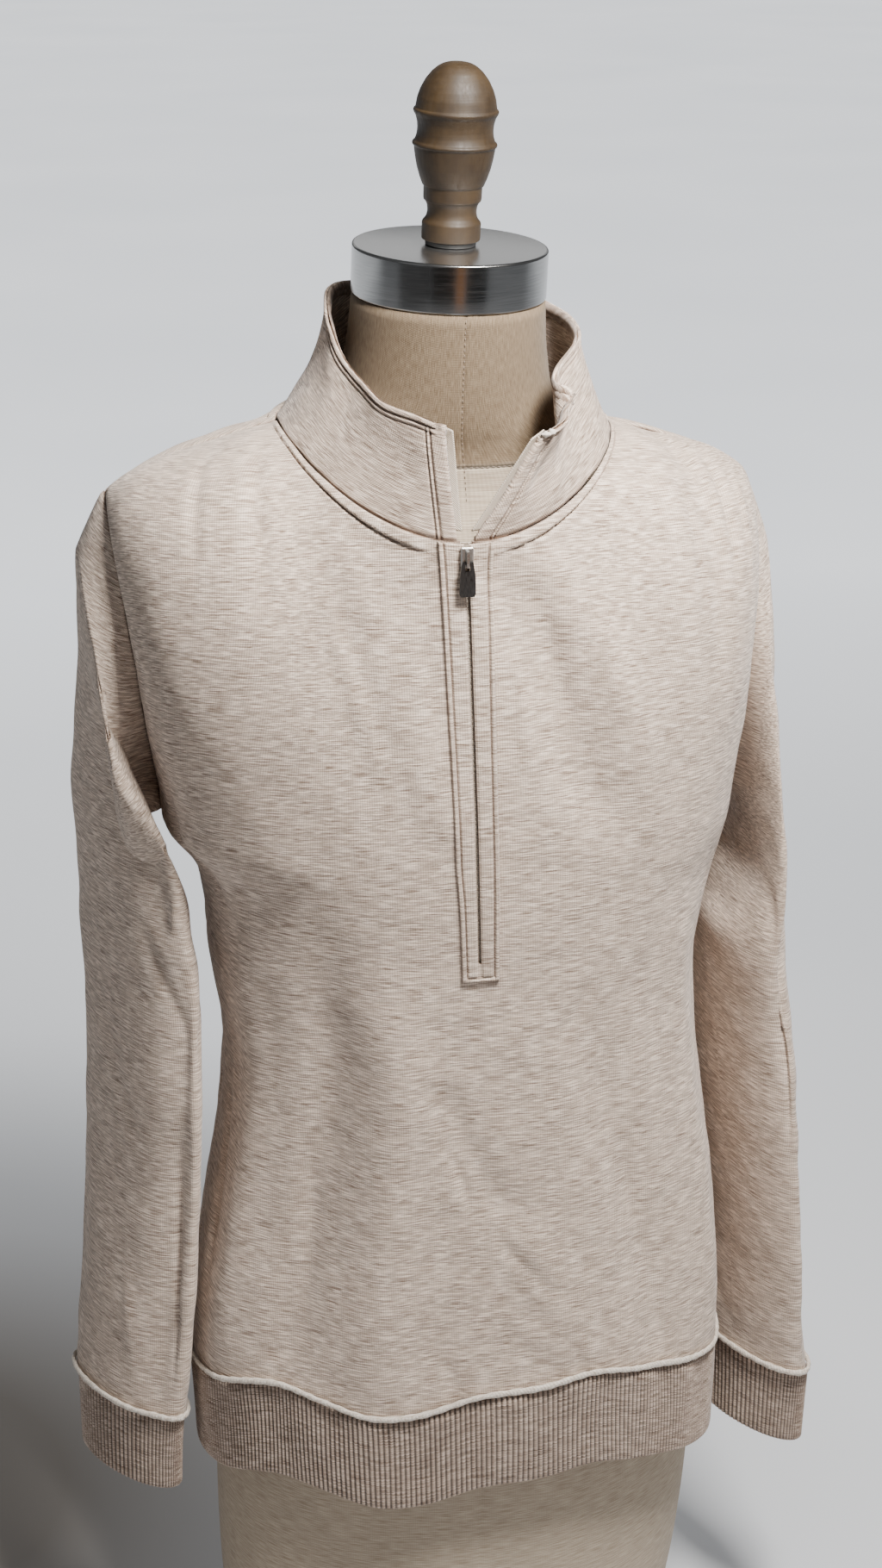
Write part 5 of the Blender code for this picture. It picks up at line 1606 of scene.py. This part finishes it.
def card_finish(name, colour, glow):
    made, tree, shader = finish_of(name, 0.8)
    clouds = cloud(tree, stretched(tree, object_way(tree), (2.0, 2.0, 2.0)), 2.0, 0.5)
    tones = ramp(tree, clouds, ((0.3, times(colour, 0.8, 0.8, 0.8)), (0.7, colour)))
    plugged(tree, shader, Base_Color=tones)
    shader.inputs["Emission Color"].default_value = (*colour, 1)
    shader.inputs["Emission Strength"].default_value = glow
    return made


flat_square("floor", 30.0, Matrix.Translation((0, 0, -0.0004)), floor_finish(), seen=True)

# Cards that the camera doesn't see give the steel cap something dark, warm and pale to mirror; each
# covers a range of angles as seen from the cap
CARD_AWAY = 2.3
for name, low, high, stuff in (
    ("dark_card", -21, 7, card_finish("dark_card_paint", (0.035, 0.028, 0.024), 0.0)),
    ("warm_card", 8, 17, card_finish("warm_card_paint", (0.55, 0.25, 0.10), 0.5)),
    ("side_card", 19, 44, card_finish("side_card_paint", (0.05, 0.055, 0.06), 0.0)),
    ("left_card", -60, -22, card_finish("left_card_paint", (0.15, 0.15, 0.155), 0.0)),
):
    centre = np.radians(-98 + (low + high) / 2)
    half = CARD_AWAY * np.tan(np.radians((high - low) / 2))
    place = Matrix.Translation((CARD_AWAY * np.cos(centre), CARD_AWAY * np.sin(centre), 0.55))
    turned_card = Matrix.Rotation(centre + np.pi / 2, 4, "Z") @ Matrix.Rotation(np.pi / 2, 4, "X")
    flat_square(name, 1.0, place @ turned_card @ Matrix.Diagonal((half, 0.75, 1.0, 1.0)), stuff)

back_card = Matrix.Translation((0.3, CARD_AWAY, 1.95)) @ Matrix.Rotation(np.radians(70), 4, "X")
back_card = back_card @ Matrix.Diagonal((1.3, 0.6, 1.0, 1.0))
flat_square("back_card", 1.0, back_card, card_finish("back_card_paint", (0.80, 0.81, 0.82), 0.38))


def area_light(name, place, aim, wide, tall, power, colour):
    data = bpy.data.lights.new(name, "AREA")
    data.shape = "RECTANGLE"
    data.size = wide
    data.size_y = tall
    data.energy = power
    data.color = colour
    made = bpy.data.objects.new(name, data)
    made.location = place
    made.rotation_euler = (Vector(aim) - Vector(place)).to_track_quat("-Z", "Y").to_euler()
    bpy.context.scene.collection.objects.link(made)


area_light("key", (0.26, -0.58, 1.60), (0.0, -0.08, 0.72), 0.28, 0.24, 39.0, (1.0, 0.965, 0.925))
area_light("fill", (-1.9, -1.5, 1.6), (0.0, 0.0, 0.60), 1.2, 1.2, 1.2, (0.95, 0.97, 1.0))

world = bpy.data.worlds.new("room_light")
bpy.context.scene.world = world
world.use_nodes = True
world.node_tree.nodes["Background"].inputs["Color"].default_value = (0.95, 0.97, 1.0, 1)
world.node_tree.nodes["Background"].inputs["Strength"].default_value = 0.13

lens = bpy.data.cameras.new("camera")
lens.lens = 60.0
lens.sensor_width = 36.0
lens.clip_end = 100.0
camera = bpy.data.objects.new("camera", lens)
camera.location = (-0.2097, -1.4849, 1.2000)
camera.rotation_euler = (np.radians(69.36), 0.0, np.radians(-8.0))
bpy.context.scene.collection.objects.link(camera)
bpy.context.scene.camera = camera
